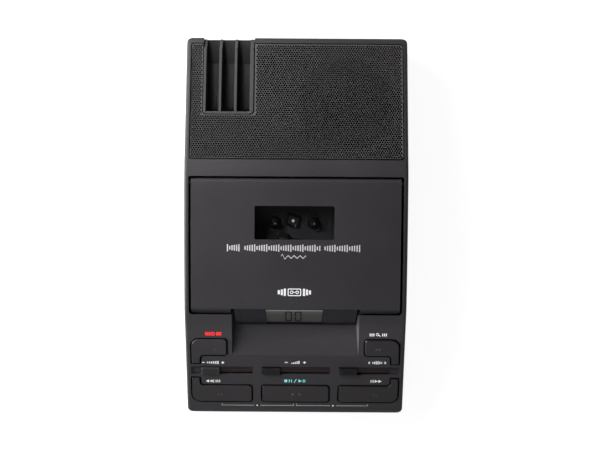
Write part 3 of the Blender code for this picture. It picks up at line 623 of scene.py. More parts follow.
# ------------------------------------------------------------------ key and slider layout
def l_outline(outer_x, inner_x, rear_y, front_y, tail_y, tail_x):
    """L-shaped key on the panel, whose tail runs to tail_y along its outer side."""
    if tail_y <= rear_y:
        corners = [(outer_x, tail_y, 0.6), (tail_x, tail_y, 0.6), (tail_x, front_y, 2.4),
                   (inner_x, front_y, 2.3), (inner_x, rear_y, 2.3), (outer_x, rear_y, 6.0)]
    else:
        corners = [(outer_x, front_y, 6.0), (inner_x, front_y, 2.3), (inner_x, rear_y, 2.3),
                   (tail_x, rear_y, 2.4), (tail_x, tail_y, 0.8), (outer_x, tail_y, 0.8)]
    if outer_x > 0:
        corners = corners[::-1]    # keeps right-hand keys counterclockwise
    return [(x, panel_v(y)) for x, y, _ in corners], [radius for *_, radius in corners]


# Outline with its corner radii, and place (x, y) of the mark
KEYS = {
    "power": (l_outline(-72.4, -47.2, -76.8, -89.0, -95.0, -65.8), (-56.0, -83.8)),
    "search": (l_outline(72.4, 47.8, -76.8, -89.0, -95.0, 66.4), (57.2, -83.8)),
    "rewind": (l_outline(-72.6, -30.0, -110.5, -123.0, -104.9, -66.2), (-53.0, -117.2)),
    "wind": (l_outline(72.6, 30.2, -110.5, -123.0, -104.9, 66.6), (56.6, -117.2)),
    "stop_play": ((rect(-23.6, 24.0, panel_v(-123.0), panel_v(-110.5)), 2.3), (1.0, -117.0)),
}
# Slot from x0 to x1, and its knob from x0 to x1
FADERS = {
    "speed": (-65.8, -29.6, -65.4, -52.6),
    "volume": (-23.2, 24.4, -22.8, -10.4),
    "tone": (30.6, 66.2, 31.0, 43.4),
}
SLOT_FRONT, SLOT_REAR = panel_v(-102.7), panel_v(-97.0)
POSTS = [(-68.6, -68.0), (68.6, -68.0), (-68.6, 117.0), (68.6, 117.0)]    # screw posts (x, y)


# ------------------------------------------------------------------ top cover
def housing(low_z, inset, drop, corner, rim, stations):
    """Body under the top surface, lowered by drop(y), with rings at the y stations."""
    front, rear = -Y_END + inset, Y_END - inset
    eased = [1 - math.cos(a) for a in quarter(8)]
    ys = [front + corner * s for s in eased] + [rear - corner * s for s in eased]
    ys += [s for s in stations if front + corner < s < rear - corner]
    rings = []
    for y in sorted(set(round(v, 4) for v in ys)):
        to_end = min(y - front, rear - y)
        half, top = HALF_W - inset, z_top(y) - drop(y)
        if to_end < corner:
            half -= corner - math.sqrt(max(0.0, corner ** 2 - (corner - to_end) ** 2))
        if to_end < rim:
            top -= rim - math.sqrt(max(0.0, rim ** 2 - (rim - to_end) ** 2))
        if rim > 0:
            crown = arc(-half + rim, top - rim, rim, math.pi, math.pi / 2, 8)
            crown += arc(half - rim, top - rim, rim, math.pi / 2, 0, 8)
        else:
            crown = [(-half, top), (half, top)]
        rings.append([(x, y, z) for x, z in [(-half, low_z)] + crown + [(half, low_z)]])
    n, last = len(rings[0]), len(rings) - 1
    caps = [tuple(range(n)), tuple(range(n * last, n * last + n))[::-1]]
    return [v for ring in rings for v in ring], caps + walls(n, len(rings))


STATIONS = [-124, -116, -108, -100, -90, -80, -70, -62]
STATIONS += [PANEL_Y + 2.5 * i for i in range(40)]
STATIONS += [GRILLE_Y, 50, 60, 70, 80, 90, 100, 110, 120]


def display_trough():
    """Cut between leaning side walls, round the display."""
    right = [(43.7 + 0.176 * (z - panel_z(y)), y, z)
             for y, z in ((-93.0, 43.0), (-50.0, 43.0), (-50.0, 62.0), (-93.0, 62.0))]
    faces = [(0, 1, 2, 3), (4, 7, 6, 5), (0, 4, 5, 1), (1, 5, 6, 2), (2, 6, 7, 3), (3, 7, 4, 0)]
    return right + [(-x, y, z) for x, y, z in right], faces


def cover_steps():
    inside = housing(8.0, WALL, lambda y: 4.1 if y > 44.0 else WALL, 0.0, 0.0,
                     STATIONS + [44.2, 43.9])
    lid_opening = round_rect(-72.95, 72.95, -59.6, 34.7, [2.2, 2.2, 1.2, 1.2])
    rack_opening = [(77.0, 39.0), (125.0, 30.7), (131.3, 37.2),
                    (140.0, 37.2), (140.0, 80.0), (77.0, 80.0)]
    display_floor = [(-91.0, 40.5), (-66.1, 40.5), (-66.1, 43.6), (-85.6, 43.6), (-91.0, 41.3)]
    display_cheek = [(-91.5, 40.1), (-57.2, 40.1), (-57.2, 51.0),
                     (-60.4, 51.0), (-60.4, 54.1), (-91.5, 41.0)]
    steps = [
        cut(inside),
        cut(prism(lid_opening, 25.0, 80.0)),
        cut(prism(round_rect(-73.1, 73.1, -39.5, 42.8, 2.0), -1.9, 8.0), GRILLE),
        cut(cyl(30.0, 0.0, 32.3, -12.0, 8.0, 96), GRILLE),    # over the loudspeaker
        cut(slab_x(rack_opening, -64.4, -29.2)),
        add(slab_x(display_floor, -46.0, 46.0)),
    ]
    steps += [add(slab_x(display_cheek, *span)) for span in both_sides(41.75, 46.4)]
    steps.append(cut(display_trough()))
    for (corners, radii), _ in KEYS.values():
        steps.append(cut(prism(rounded(corners, radii, 8, 0.50), -6.0, 5.0), PANEL))
    for x0, x1, *_ in FADERS.values():
        slot = round_rect(x0, x1, SLOT_FRONT, SLOT_REAR, 0.5, 4)
        steps.append(cut(prism(slot, -6.0, 5.0), PANEL))
    for x0, x1 in both_sides(65.5, 72.6):    # shallow recesses at the panel's sides
        recess = round_rect(x0, x1, SLOT_FRONT, SLOT_REAR, 0.5, 4)
        steps.append(cut(prism(recess, -1.5, 5.0), PANEL))
    for x, y in POSTS:
        top = z_top(y) - 1.2 - (1.9 if y > 0 else 0.0)
        steps.append(add(cyl(x, y, 3.2, Z_PART + 0.45, top, 24)))
        steps.append(cut(cyl(x, y, 1.7, 8.0, 26.0, 20)))
    for x0, x1 in both_sides(70.0, 75.0):
        steps.append(cut(rod_x(HINGE_Y, HINGE_Z, 1.55, x0, x1, 24)))
    for x, radius, sides in ((12.0, 4.2, 40), (34.0, 7.4, 56), (56.0, 4.9, 40)):    # sockets
        steps.append(cut(rod_y(x, 26.0, radius, 120.0, 140.0, sides)))
    return steps


def cover_edges(x, y, z):
    on_top = abs(z - z_top(y)) < 0.06 and abs(x) < 74.0 and -129.0 < y < 129.0
    return on_top or (y > 130.7 and 16.0 < z < 48.0)


piece("top_cover_shell", housing(Z_PART + 0.15, 0.0, lambda y: 0.0, CORNER, EDGE_R, STATIONS),
      "charcoal_shell", "housing_plastic", "top_cover", steps=cover_steps(),
      bevel=dict(width=0.38, segments=3, angle=30.0, where=cover_edges))


# ------------------------------------------------------------------ base shell
def base_ring(grow):
    return round_rect(-HALF_W, HALF_W, -Y_END, Y_END, CORNER, 10, grow)


def base_shape():
    radius = 1.6    # of the bottom edge
    levels = [(base_ring(-radius * (1 - math.sin(a))), Z_BASE + radius * (1 - math.cos(a)))
              for a in quarter(6)]
    return stack(levels + [(base_ring(0.0), Z_PART - 0.45), (base_ring(-0.3), Z_PART - 0.15)])


def base_steps():
    steps = [cut(prism(base_ring(-WALL), Z_BASE + WALL, 20.0))]
    for x, y in POSTS:
        steps += [add(cyl(x, y, 4.2, Z_BASE + 1.5, Z_PART - 0.15, 32)),
                  cut(cyl(x, y, 1.8, 0.0, 20.0, 24)),
                  cut(cyl(x, y, 3.3, 0.0, 8.0, 40))]
    for k in range(7):    # row of slots under the loudspeaker
        slot = round_rect(10.0, 52.0, 72.0 + 6.0 * k, 74.4 + 6.0 * k, 1.19)
        steps.append(cut(prism(slot, 0.0, 12.0)))
    return steps


piece("base_shell_moulding", base_shape(), "charcoal_base", "housing_plastic", "base_shell",
      steps=base_steps(), bevel=dict(width=0.25, segments=2, angle=30.0,
                                     where=lambda x, y, z: z < 3.1 and abs(x) < 72.5))

# ------------------------------------------------------------------ perforated grille
SHEET = [(-72.4, -38.3), (72.4, -38.3), (72.4, 42.0), (-28.9, 42.0),
         (-28.9, -8.2), (-64.7, -8.2), (-64.7, 42.0), (-72.4, 42.0)]
SHEET_RADII = [1.6, 1.6, 1.6, 0.3, 2.9, 2.9, 0.3, 1.6]
SHEET_TOP, SHEET_BOTTOM = -0.1, -1.3
PITCH, HOLE_X, HOLE_Y = 1.70, 0.735, 0.80    # hole pitch and half sizes
ROW = PITCH * math.sqrt(3) / 2


def in_sheet(x, v):
    """Whether a hole's cell clears the sheet's edge and its cut-out for the rack."""
    margin = 0.87
    side = 0.9 * margin
    if not (-72.4 + side < x < 72.4 - side and -38.3 + margin < v < 42.0 - margin):
        return False
    return not (-64.7 - side < x < -28.9 + side and v > -8.2 - margin)


def perforated_cells():
    """Hexagonal cells with oval holes; each top vertex is followed by the one below it."""
    verts, faces, known, sides = [], [], {}, []

    def vertex(x, v):
        verts.extend([(x, v, SHEET_TOP), (x, v, SHEET_BOTTOM)])
        return len(verts) - 2

    def shared(x, v):
        key = (round(x * 200), round(v * 200))
        if key not in known:
            known[key] = vertex(x, v)
        return known[key]

    reach = PITCH / math.sqrt(3)
    for j in range(-2, int(82 / ROW) + 2):
        for i in range(-2, int(146 / PITCH) + 2):
            cx = -72.86 + i * PITCH + (PITCH / 2 if j % 2 else 0.0) + PITCH / 4
            cv = -38.8 + j * ROW
            if not in_sheet(cx, cv):
                continue
            cell = [shared(cx + reach * math.sin(math.pi / 3 * k),
                           cv + reach * math.cos(math.pi / 3 * k)) for k in range(6)]
            hole = [vertex(cx + HOLE_X * math.cos(a), cv + HOLE_Y * math.sin(a))
                    for a in (math.pi / 8 + math.pi / 4 * k for k in range(8))]
            # Zip the cell's and the hole's corners together by angle.
            order = sorted((math.atan2(verts[c][1] - cv, verts[c][0] - cx) % (2 * math.pi),
                            kind, c) for kind, ring in enumerate((cell, hole)) for c in ring)
            rings = [[c for _, kind, c in order if kind == wanted] for wanted in (0, 1)]
            last = [rings[0][-1], rings[1][-1]]
            for _, kind, c in order:
                faces.append((last[0], c, last[1]))
                faces.append((last[0] + 1, last[1] + 1, c + 1))
                last[kind] = c
            for a, b in zip(hole, hole[1:] + hole[:1]):
                faces.append((a, b, b + 1, a + 1))
            sides += zip(rings[0], rings[0][1:] + rings[0][:1])
    present = set(sides)
    return verts, faces, [(a, b) for a, b in sides if (b, a) not in present]


def make_grille():
    name = "speaker_grille_perforated"
    verts, faces, border = perforated_cells()
    outline = rounded(SHEET, SHEET_RADII, 6)
    n = len(outline)
    bm = bmesh.new()
    cells = [bm.verts.new(v) for v in verts]
    for face in faces:
        bm.faces.new([cells[i] for i in face])
    rings = [[bm.verts.new((x, v, z)) for x, v in outline] for z in (SHEET_TOP, SHEET_BOTTOM)]
    margin = set()
    for level, ring in enumerate(rings):
        edges = [bm.edges.get((cells[a + level], cells[b + level])) for a, b in border]
        edges += [bm.edges.new((ring[i], ring[(i + 1) % n])) for i in range(n)]
        filled = bmesh.ops.triangle_fill(bm, edges=edges, use_beauty=True, use_dissolve=False)
        margin |= {g for g in filled["geom"] if isinstance(g, bmesh.types.BMFace)}
    top, bottom = rings
    for i in range(n):
        j = (i + 1) % n
        bm.faces.new((top[i], top[j], bottom[j], bottom[i]))
    bmesh.ops.recalc_face_normals(bm, faces=bm.faces)
    for face in bm.faces:
        # Upward web faces take the grille paint; the margin round the cells and all other faces
        # take the near-black painted shade.
        face.material_index = 0 if face.normal.z > 0.5 and face not in margin else 1
    mesh = bpy.data.meshes.new(name)
    for vert in bm.verts:
        vert.co = (GRILLE @ vert.co) * MM
    bm.to_mesh(mesh)
    bm.free()
    grille = bpy.data.objects.new(name, mesh)
    scene.collection.objects.link(grille)
    finish_piece(grille, ["grille_paint", "punched_edge"],
                 ["speaker_grille"], "housing")


make_grille()

# Near-black backing behind the sheet, cut away over the loudspeaker: painted shade that makes the
# holes read dark
SHADE_BACKING = [(-72.0, -38.0), (72.0, -38.0), (72.0, 41.7), (-28.2, 41.7),
         (-28.2, -9.2), (-65.4, -9.2), (-65.4, 41.7), (-72.0, 41.7)]
piece("grille_shade_backing", prism(rounded(SHADE_BACKING, 0.4, 4), -1.78, -1.42), "acoustic_cloth",
      "black_plastic", place=GRILLE, smooth=None,
      steps=[cut(cyl(31.5, 0.0, 31.0, -3.0, 1.0, 96), GRILLE)])

# ------------------------------------------------------------------ cassette rack
RACK_X0, RACK_X1, RACK_FRONT, RACK_REAR, RACK_FLOOR = -64.0, -29.6, 77.4, 130.7, 25.0
SLOT_X0, SLOT_PITCH, SLOT_WIDTH = -62.2, 10.6, 8.8


def rack_top(y):
    return z_top(y) + 0.15


def rack_steps():
    low = RACK_FLOOR + 0.6
    pocket = [(79.2, low)]
    pocket += [(79.2 + 0.6 - 0.6 * math.cos(a), low - 0.6 * math.sin(a))
               for a in (0.4, 0.8, 1.2, 1.57)]
    pocket += [(115.0, RACK_FLOOR), (116.4, low), (RACK_REAR + 5.0, RACK_FLOOR + 18.9),
               (RACK_REAR + 5.0, 80.0), (79.2, 80.0)]
    notch = [(115.5, 24.0), (116.3, 24.0), (116.3, 26.5), (115.5, 26.5)]
    starts = [SLOT_X0 + SLOT_PITCH * i for i in range(3)]
    steps = [cut(slab_x(pocket, x, x + SLOT_WIDTH)) for x in starts]
    steps += [cut(slab_x(notch, x + 0.1, x + SLOT_WIDTH - 0.1)) for x in starts]
    outline = round_rect(RACK_X0, RACK_X1, RACK_FRONT, RACK_REAR + 3, [2.6, 2.6, 0.1, 0.1])
    return steps + [within(prism(outline, 10.0, 80.0))]


RACK_SIDE = [(RACK_FRONT, 23.0), (117.3, 23.0), (RACK_REAR, 37.0), (RACK_REAR, 42.0),
             (126.5, 46.2), (123.5, rack_top(123.5)), (RACK_FRONT, rack_top(RACK_FRONT))]
piece("cassette_rack_moulding", slab_x(RACK_SIDE, RACK_X0, RACK_X1), "rack_moulding",
      "black_plastic", "cassette_rack", steps=rack_steps(),
      bevel=dict(width=0.3, segments=3, angle=25.0,
                 where=lambda x, y, z: z > rack_top(y) - 0.2 or y > 123.0))

# ------------------------------------------------------------------ display
LENS = [(-41.2, 0.4), (41.2, 0.4), (42.4, 15.9), (-42.4, 15.9)]
LENS_HOLE = [(-19.6, 1.35), (18.0, 1.35), (18.93, 15.25), (-20.73, 15.25)]
piece("display_lens_surround", prism(LENS, -0.7, 0.85), "lens_black", "smoked_plastic",
      "display_lens", place=DISPLAY, bevel=dict(width=0.12, segments=2, angle=60.0),
      steps=[cut(prism(rounded(LENS_HOLE, 0.3, 4), -3.0, 2.0), DISPLAY),
             cut(box(-45.0, 45.0, -55.82, -50.0, 53.3, 60.0))])    # clears the closed lid
LCD_CELL = round_rect(-24.8, 24.8, 0.9, 14.3, 0.3, 3)
LCD_FACE = rounded([(-19.45, 1.45), (17.85, 1.45), (18.77, 15.0), (-20.57, 15.0)], 0.3, 3)
piece("lcd_cell",
      stack([(LCD_CELL, -3.6), (LCD_CELL, -0.75), (LCD_FACE, -0.74), (LCD_FACE, 0.2)]),
      "lcd_ground", "lcd_glass", "lcd_panel", place=DISPLAY)
# glowing strip at the display's top: a painted highlight
piece("painted_highlight_lcd_band", prism(round_rect(-20.42, 18.62, 13.2, 14.94, 0.15, 2), 0.21, 0.26),
      "lcd_top_band", "lcd_glass", place=DISPLAY, smooth=None)


def zero_digit(x0, x1):
    """Six pointed bars of a seven-segment zero."""
    v0, v1, width, gap = 2.75, 12.85, 1.08, 0.12
    half, middle = width / 2, (v0 + v1) / 2
    bars = []
    for low, high in ((v0, middle), (middle, v1)):
        low, high = low + gap, high - gap
        for x in (x0, x1 - width):
            right = x0 + width if x == x0 else x1
            bars.append([(x, low + half), (right - half, low), (right, low + half),
                         (right, high - half), (right - half, high), (x, high - half)])
    for v in (v0, v1 - width):
        bars.append([(x0 + half + gap, v + half), (x0 + width + gap, v),
                     (x1 - width - gap, v), (x1 - half - gap, v + half),
                     (x1 - width - gap, v + width), (x0 + width + gap, v + width)])
    return bars


piece("lcd_digits", prisms(zero_digit(-7.2, -2.35) + zero_digit(-0.6, 4.25), 0.21, 0.27),
      "lcd_segment", "lcd_glass", place=DISPLAY, smooth=None)

# ------------------------------------------------------------------ hinged lid
LID_YS = [-50.0 + 2.5 * i for i in range(31)]    # front to rear


def lid_profile():
    """Side view (y, z): hinge barrel, top, front nose and underside."""
    angles = [math.radians(-110 + 10 * i) for i in range(20)]
    barrel = [(HINGE_Y + HINGE_R * math.cos(a), HINGE_Z + HINGE_R * math.sin(a)) for a in angles]
    ys = [y for y in (HINGE_Y - 1.2 * i for i in range(1, 71)) if y > -54.2] + [-54.4]
    nose_z = z_top(-55.0)
    nose = [(-55.3, nose_z - 0.25), (-56.0, nose_z - 0.75), (LID_FRONT, 53.5),
            (LID_FRONT, 51.9), (-56.9, 51.9), (-55.0, 54.6)]
    under = [(y, z_top(y) - 2.2) for y in [-53.0] + LID_YS]
    return barrel + [(y, z_top(y)) for y in ys] + nose + under


def lid_steps():
    rim = [(y, z_top(y) - 1.4) for y in [28.0] + LID_YS[::-1] + [-54.0]]
    rim += [(-57.6, 53.4), (-57.6, 52.0)]
    rim += [(y, z_top(y) - 6.0) for y in [-52.0] + LID_YS + [27.0]]
    outline = round_rect(-LID_X, LID_X, LID_FRONT, HINGE_Y + 4.0, [2.0, 2.0, 0.1, 0.1])
    window = round_rect(-28.1, 26.2, -11.3, 11.6, 1.3, 6)
    steps = [add(slab_x(rim, *span)) for span in both_sides(LID_X - 2.0, LID_X)]
    steps += [within(prism(outline, 40.0, 80.0)),
              cut(box(-44.2, 44.2, -62.0, -55.7, 45.0, 60.0)),    # opens over the display
              cut(prism(window, -6.0, 6.0), LID_WINDOW)]
    for x0, x1 in both_sides(65.0, 80.0):
        steps.append(cut(rod_x(HINGE_Y, HINGE_Z, 1.4, x0, x1, 24)))
    return steps


def lid_edges(x, y, z):
    """The lid's top edges and its front corners, but not the hinge barrel."""
    if y > HINGE_Y - 1.0:
        return False
    if abs(z - z_top(y)) < 0.03 and y > -54.3:
        return True
    at_side = abs(x) > LID_X - 2.2 or abs(abs(x) - 44.2) < 0.05 or abs(y + 55.7) < 0.05
    return y < -54.0 and z > 53.3 and at_side


piece("cassette_lid_shell", slab_x(lid_profile(), -LID_X, LID_X), "charcoal_lid",
      "housing_plastic", "cassette_lid", body="lid", steps=lid_steps(),
      bevel=dict(width=0.4, segments=3, angle=30.0, where=lid_edges))


def window_outline(inset, radius):
    return round_rect(-27.8 + inset, 25.9 - inset, -11.0 + inset, 11.3 - inset, radius, 6)


WINDOW_FLANGE = round_rect(-30.0, 28.2, -13.4, 13.5, 1.5, 6)
piece("lid_window_smoked",
      stack([(WINDOW_FLANGE, -3.9), (WINDOW_FLANGE, -2.9), (window_outline(0.0, 0.8), -2.85),
             (window_outline(0.0, 0.8), -0.75), (window_outline(0.15, 0.7), -0.6)]),
      "smoked_window", "smoked_plastic", "lid_window", body="lid", place=LID_WINDOW)

# ------------------------------------------------------------------ deck under the lid
BEZEL = [(-72.0, -62.2), (-46.9, -62.2), (-46.9, -55.4), (46.9, -55.4),
         (46.9, -62.2), (72.0, -62.2), (72.0, 29.6), (-72.0, 29.6)]


def bezel_steps():
    well = rect(-WELL_X - 0.8, WELL_X - 0.8, REEL_Y - WELL_Y, REEL_Y + WELL_Y)
    steps = [add(prism(rounded(well, 2.0, 6, 1.8), WELL_FLOOR - 1.8, -8.6), DECK),
             cut(prism(rounded(well, 2.0, 6), WELL_FLOOR, 0.0), DECK)]
    for x in (REEL_L, REEL_R):
        steps += [add(cyl(x, REEL_Y, 6.2, WELL_FLOOR - 1.0, WELL_FLOOR + 0.45), DECK),
                  cut(cyl(x, REEL_Y, 4.6, -20.0, -10.0), DECK)]
    idler_slot = round_rect(IDLER_X - 1.9, IDLER_X + 4.2, IDLER_Y - 1.9, IDLER_Y + 1.9, 1.2, 6)
    steps += [cut(prism(idler_slot, -20.0, -10.0), DECK),
              cut(box(-12.8, -4.4, -18.6, -10.6, -20.0, -10.0), DECK),    # for the head
              cut(box(-24.0, 22.0, 20.5, 24.5, -20.0, 0.0), DECK)]
    for x0, x1 in ((-27.5, -24.5), (21.7, 24.7)):    # cassette rest rails
        rail = round_rect(x0, x1, -14.0, 13.0, 0.8, 4)
        steps.append(add(prism(rail, WELL_FLOOR - 0.5, WELL_FLOOR + 0.6), DECK))
    for k in range(9):                               # finger grips in front of the well
        grip = round_rect(-20.0, 18.4, -27.0 - 1.9 * k, -26.2 - 1.9 * k, 0.39, 4)
        steps.append(add(prism(grip, -8.6, -7.7), DECK))
    for x in (-66.0, 66.0):
        for y in (-50.0, 20.0):
            steps.append(cut(cyl(x, y, 2.4, -9.2, -6.0, 32), DECK))
    return steps


piece("deck_bezel_moulding", prism(BEZEL, -10.2, -8.0), "deck_moulding", "black_plastic",
      "deck_bezel", place=DECK, steps=bezel_steps(),
      bevel=dict(width=0.22, segments=2, angle=40.0))

# Spindle and its tip (radius, z), from the bottom up
SPINDLE = [(0, -22.2), (1.6, -22.2), (1.6, -21.6), (8.8, -21.6), (9.0, -21.4), (9.0, -19.2),
           (8.8, -19.0), (3.0, -19.0), (3.0, -14.6), (3.8, -14.45), (3.9, -14.3), (3.9, -13.7),
           (3.8, -13.55), (2.4, -13.4), (2.3, -13.3), (2.3, -9.7), (2.1, -9.2), (1.6, -8.6),
           (0.9, -8.3), (0, -8.2)]
SPINDLE_TIP = [(0, -8.35), (0.4, -8.35), (0.5, -8.05), (0.36, -7.8), (0, -7.72)]


def reel(side, x):
    """Hub spindle with three fins and a pale tip."""
    name, body = side + "_hub_spindle", side + "_reel"
    fins = []
    for k in range(3):
        angle = math.radians(90 + 120 * k)
        foot = turned(rect(1.0, 3.4, -0.45, 0.45), x, REEL_Y, angle)
        top = turned(rect(0.9, 2.3, -0.3, 0.3), x, REEL_Y, angle)
        fins.append(add(stack([(foot, -13.9), (foot, -10.2), (top, -9.0)]), DECK))
    piece(name, lathe(x, REEL_Y, SPINDLE, 56), "spindle_black", "black_plastic", side + "_hub",
          body=body, place=DECK, steps=fins,
          bevel=dict(width=0.1, segments=2, angle=50.0, where=lambda x, y, z: z > 48.0))
    piece(name + "_tip", lathe(x, REEL_Y, SPINDLE_TIP, 24), "white_nylon", "steel",
          body=body, place=DECK)


reel("supply", REEL_L)
reel("takeup", REEL_R)

# ------------------------------------------------------------------ idler
IDLER = dict(body="idler_swing_arm", place=DECK)
CAP_TURN = math.radians(-17.0)
ARM = rounded([(-2.4, -IDLER_ARM - 2.4), (2.4, -IDLER_ARM - 2.4), (4.0, 4.0), (-4.0, 4.0)],
              [2.2, 2.2, 3.6, 3.6])
AXLE = [(0, -22.5), (1.2, -22.5), (1.2, -14.5), (0, -14.5)]
AXLE_TIP = [(0, -14.5), (1.0, -14.5), (1.0, -12.5), (0.9, -12.2), (0.6, -11.95), (0, -11.85)]


def on_cap(half_x, half_y, radius, steps):
    """Rounded rectangle centred on the idler axle and turned with its cap."""
    outline = round_rect(-half_x, half_x, -half_y, half_y, radius, steps)
    return turned(outline, IDLER_X, IDLER_Y, CAP_TURN)


piece("idler_arm_pressing", prism(turned(ARM, DRIVE_X, DRIVE_Y, -IDLER_REST), -22.9, -22.0),
      "plated_steel", "steel", "idler_arm", **IDLER,
      steps=[cut(cyl(DRIVE_X, DRIVE_Y, 2.45, -30.0, -15.0, 40), DECK),
             add(lathe(IDLER_X, IDLER_Y, AXLE, 32), DECK)],
      bevel=dict(width=0.12, segments=2, angle=50.0))
CAP, CAP_TOP = on_cap(4.9, 4.2, 0.7, 5), on_cap(4.9 - 0.25, 4.2 - 0.25, 0.7 - 0.25, 5)
piece("idler_cap", stack([(CAP, -14.7), (CAP, -14.15), (CAP_TOP, -13.9)]),
      "spindle_black", "steel", **IDLER,
      steps=[cut(prism(on_cap(3.7, 3.0, 0.6, 4), -14.12, -13.0), DECK)])
piece("idler_cap_inlay", prism(on_cap(3.5, 2.8, 0.5, 4), -14.10, -13.98),
      "deck_moulding", "steel", smooth=None, **IDLER)
# glowing tip: painted glint on the axle end
piece("idler_axle_tip", lathe(IDLER_X, IDLER_Y, AXLE_TIP, 32), "polished_tip", "steel", **IDLER)
PIN = turned(round_rect(-0.32, 0.32, -1.3, 1.1, 0.3, 4), IDLER_X + 1.4, IDLER_Y - 3.3,
             math.radians(18.0))
piece("idler_stop_pin", prism(PIN, -14.6, -13.4), "stop_pin_grey", "steel", **IDLER)

# ------------------------------------------------------------------ playback head
HEAD = round_rect(-12.2, -5.0, -15.0, -11.2, [0.2, 0.2, 1.4, 1.4])
NOSE = round_rect(-12.3, -4.9, -11.15, -8.5, [0.2, 0.2, 1.2, 1.2])
NOSE_TOP = round_rect(-12.1, -5.1, -11.15, -8.7, [0.2, 0.2, 1.0, 1.0])
piece("playback_head_block", prism(HEAD, -15.0, -9.8), "plated_steel", "steel",
      "playback_head", body="head", place=DECK,
      steps=[cut(box(-8.7, -8.5, -11.6, -10.5, -15.5, -9.0), DECK),
             cut(box(-13.0, -4.0, -16.0, -13.6, -10.5, -9.0), DECK)],
      bevel=dict(width=0.12, segments=2, angle=40.0))
piece("playback_head_nose", stack([(NOSE, -14.6), (NOSE, -10.6), (NOSE_TOP, -10.4)]),
      "spindle_black", "black_plastic", body="head", place=DECK)


# ------------------------------------------------------------------ mark shapes
def triangle(x, v, width, height, way):
    """Triangle pointing right (way 1) or left (way -1)."""
    base = x - way * width / 2
    return [(base, v - height / 2), (x + way * width / 2, v), (base, v + height / 2)][::way]


def ring_bit(x, v, outer, inner, start, end):
    return [(x + r * math.cos(a), v + r * math.sin(a))
            for r, a in ((outer, start), (outer, end), (inner, end), (inner, start))]


def ring_bits(x, v, radius, width, start=0, end=360, count=18):
    angles = [math.radians(start + (end - start) * i / count) for i in range(count + 1)]
    return [ring_bit(x, v, radius, radius - width, a, b)[::-1]
            for a, b in zip(angles, angles[1:])]


def strokes(v, pitch, half_heights, *spans):
    """Upright strokes at the x spans, repeated at a pitch."""
    return [rect(x0 + pitch * k, x1 + pitch * k, v - half, v + half)
            for k, half in enumerate(half_heights) for x0, x1 in spans]


def plus(x, v, width):
    half = width / 2
    return [rect(x - 1.0, x + 1.0, v - half, v + half),
            rect(x - half, x + half, v + half, v + 1.0),
            rect(x - half, x + half, v - 1.0, v - half)]


def diamond(x, v):
    size = 1.1
    return [[(x, v - size), (x + size * 0.7, v), (x, v + size), (x - size * 0.7, v)]]


# ------------------------------------------------------------------ keys
def key_mark(key, x, v):
    if key == "power":
        angles = [math.radians(135 + 28.7 * i) for i in range(9)]
        return [rect(x - 0.25, x + 0.25, v, v + 1.6)] + [
            ring_bit(x, v, 1.5, 1.05, a, a + 0.5) for a in angles]
    if key in ("search", "rewind"):
        return [triangle(x - 1.2, v, 1.7, 1.8, -1), triangle(x + 0.9, v, 1.7, 1.8, -1)]
    if key == "wind":
        return [triangle(x - 0.9, v, 1.7, 1.8, 1), triangle(x + 1.2, v, 1.7, 1.8, 1)]
    return [rect(x - 3.6, x - 1.8, v - 0.9, v + 0.9), triangle(x + 2.4, v, 1.9, 2.0, 1)]


def make_key(key, corners, radii, mark_x, mark_y):
    gap, edge, shoulder = 0.45, 0.62, -0.05    # gap round the key, edge radius and its start
    levels = [(rounded(corners, radii, 10, -gap), z) for z in (-3.6, shoulder)]
    for a in quarter(6)[1:]:
        inset = -gap - edge * (1 - math.cos(a))
        levels.append((rounded(corners, radii, 10, inset), shoulder + edge * math.sin(a)))
    body = key + "_key"
    piece(body + "_cap", stack(levels), "key_cap", "key_plastic", key + "_button",
          body=body, place=PANEL, smooth=40.0)
    piece(body + "_mark", prisms(key_mark(key, mark_x, panel_v(mark_y)), 0.55, 0.72),
          "key_mark_grey", "key_plastic", body=body, place=PANEL, smooth=None)


for key, (outline, mark) in KEYS.items():
    make_key(key, *outline, *mark)


# ------------------------------------------------------------------ sliders
def make_fader(name, x0, x1, knob_x0, knob_x1):
    bed = round_rect(x0 + 0.04, x1 - 0.04, SLOT_FRONT + 1.35, SLOT_REAR - 0.04, 0.3, 3)
    piece(name + "_groove_bed", prism(bed, -2.2, -1.15), "fader_groove", "black_plastic",
          place=PANEL, smooth=None)
    # inset, z
    levels = ((0.0, -0.95), (0.0, 0.8), (0.12, 1.15), (0.35, 1.38), (0.6, 1.45))
    knob = stack([(round_rect(knob_x0 + inset, knob_x1 - inset, SLOT_FRONT + 0.25 + inset,
                              SLOT_REAR - 0.75 - inset, max(0.15, 0.5 - inset * 0.5), 5), z)
                  for inset, z in levels])
    steps = []
    for i in range(7):    # grip grooves
        groove = round_rect(knob_x0 + 2.0 + 1.35 * i, knob_x0 + 2.65 + 1.35 * i,
                            SLOT_FRONT - 1.0, SLOT_REAR + 1.0, 0.1, 2)
        steps.append(cut(prism(groove, 0.75, 4.0), PANEL))
    middle = (knob_x0 + knob_x1) / 2
    steps.append(add(box(middle - 3.0, middle + 3.0, SLOT_FRONT + 0.35, SLOT_FRONT + 1.15,
                         -2.9, 0.0), PANEL))
    piece(name + "_knob_cap", knob, "knob_cap_grey" if name == "speed" else "knob_cap",
          "black_plastic", name + "_knob", body=name + "_slider", place=PANEL, steps=steps,
          bevel=dict(width=0.1, segments=2, angle=60.0))


for name, spans in FADERS.items():
    make_fader(name, *spans)


# ------------------------------------------------------------------ print on the panel
def print_v(y):
    return panel_v(y) + (0.3 if y < -120.0 else 0.65)


def power_print():
    v = print_v(-73.9)
    return (ring_bits(-56.9, v, 1.5, 0.62, -240, 60, 14) + [rect(-57.2, -56.6, v, v + 1.7)]
            + strokes(v, 1.28, [1.3] * 3, (-62.1, -61.2), (-54.5, -53.6)))


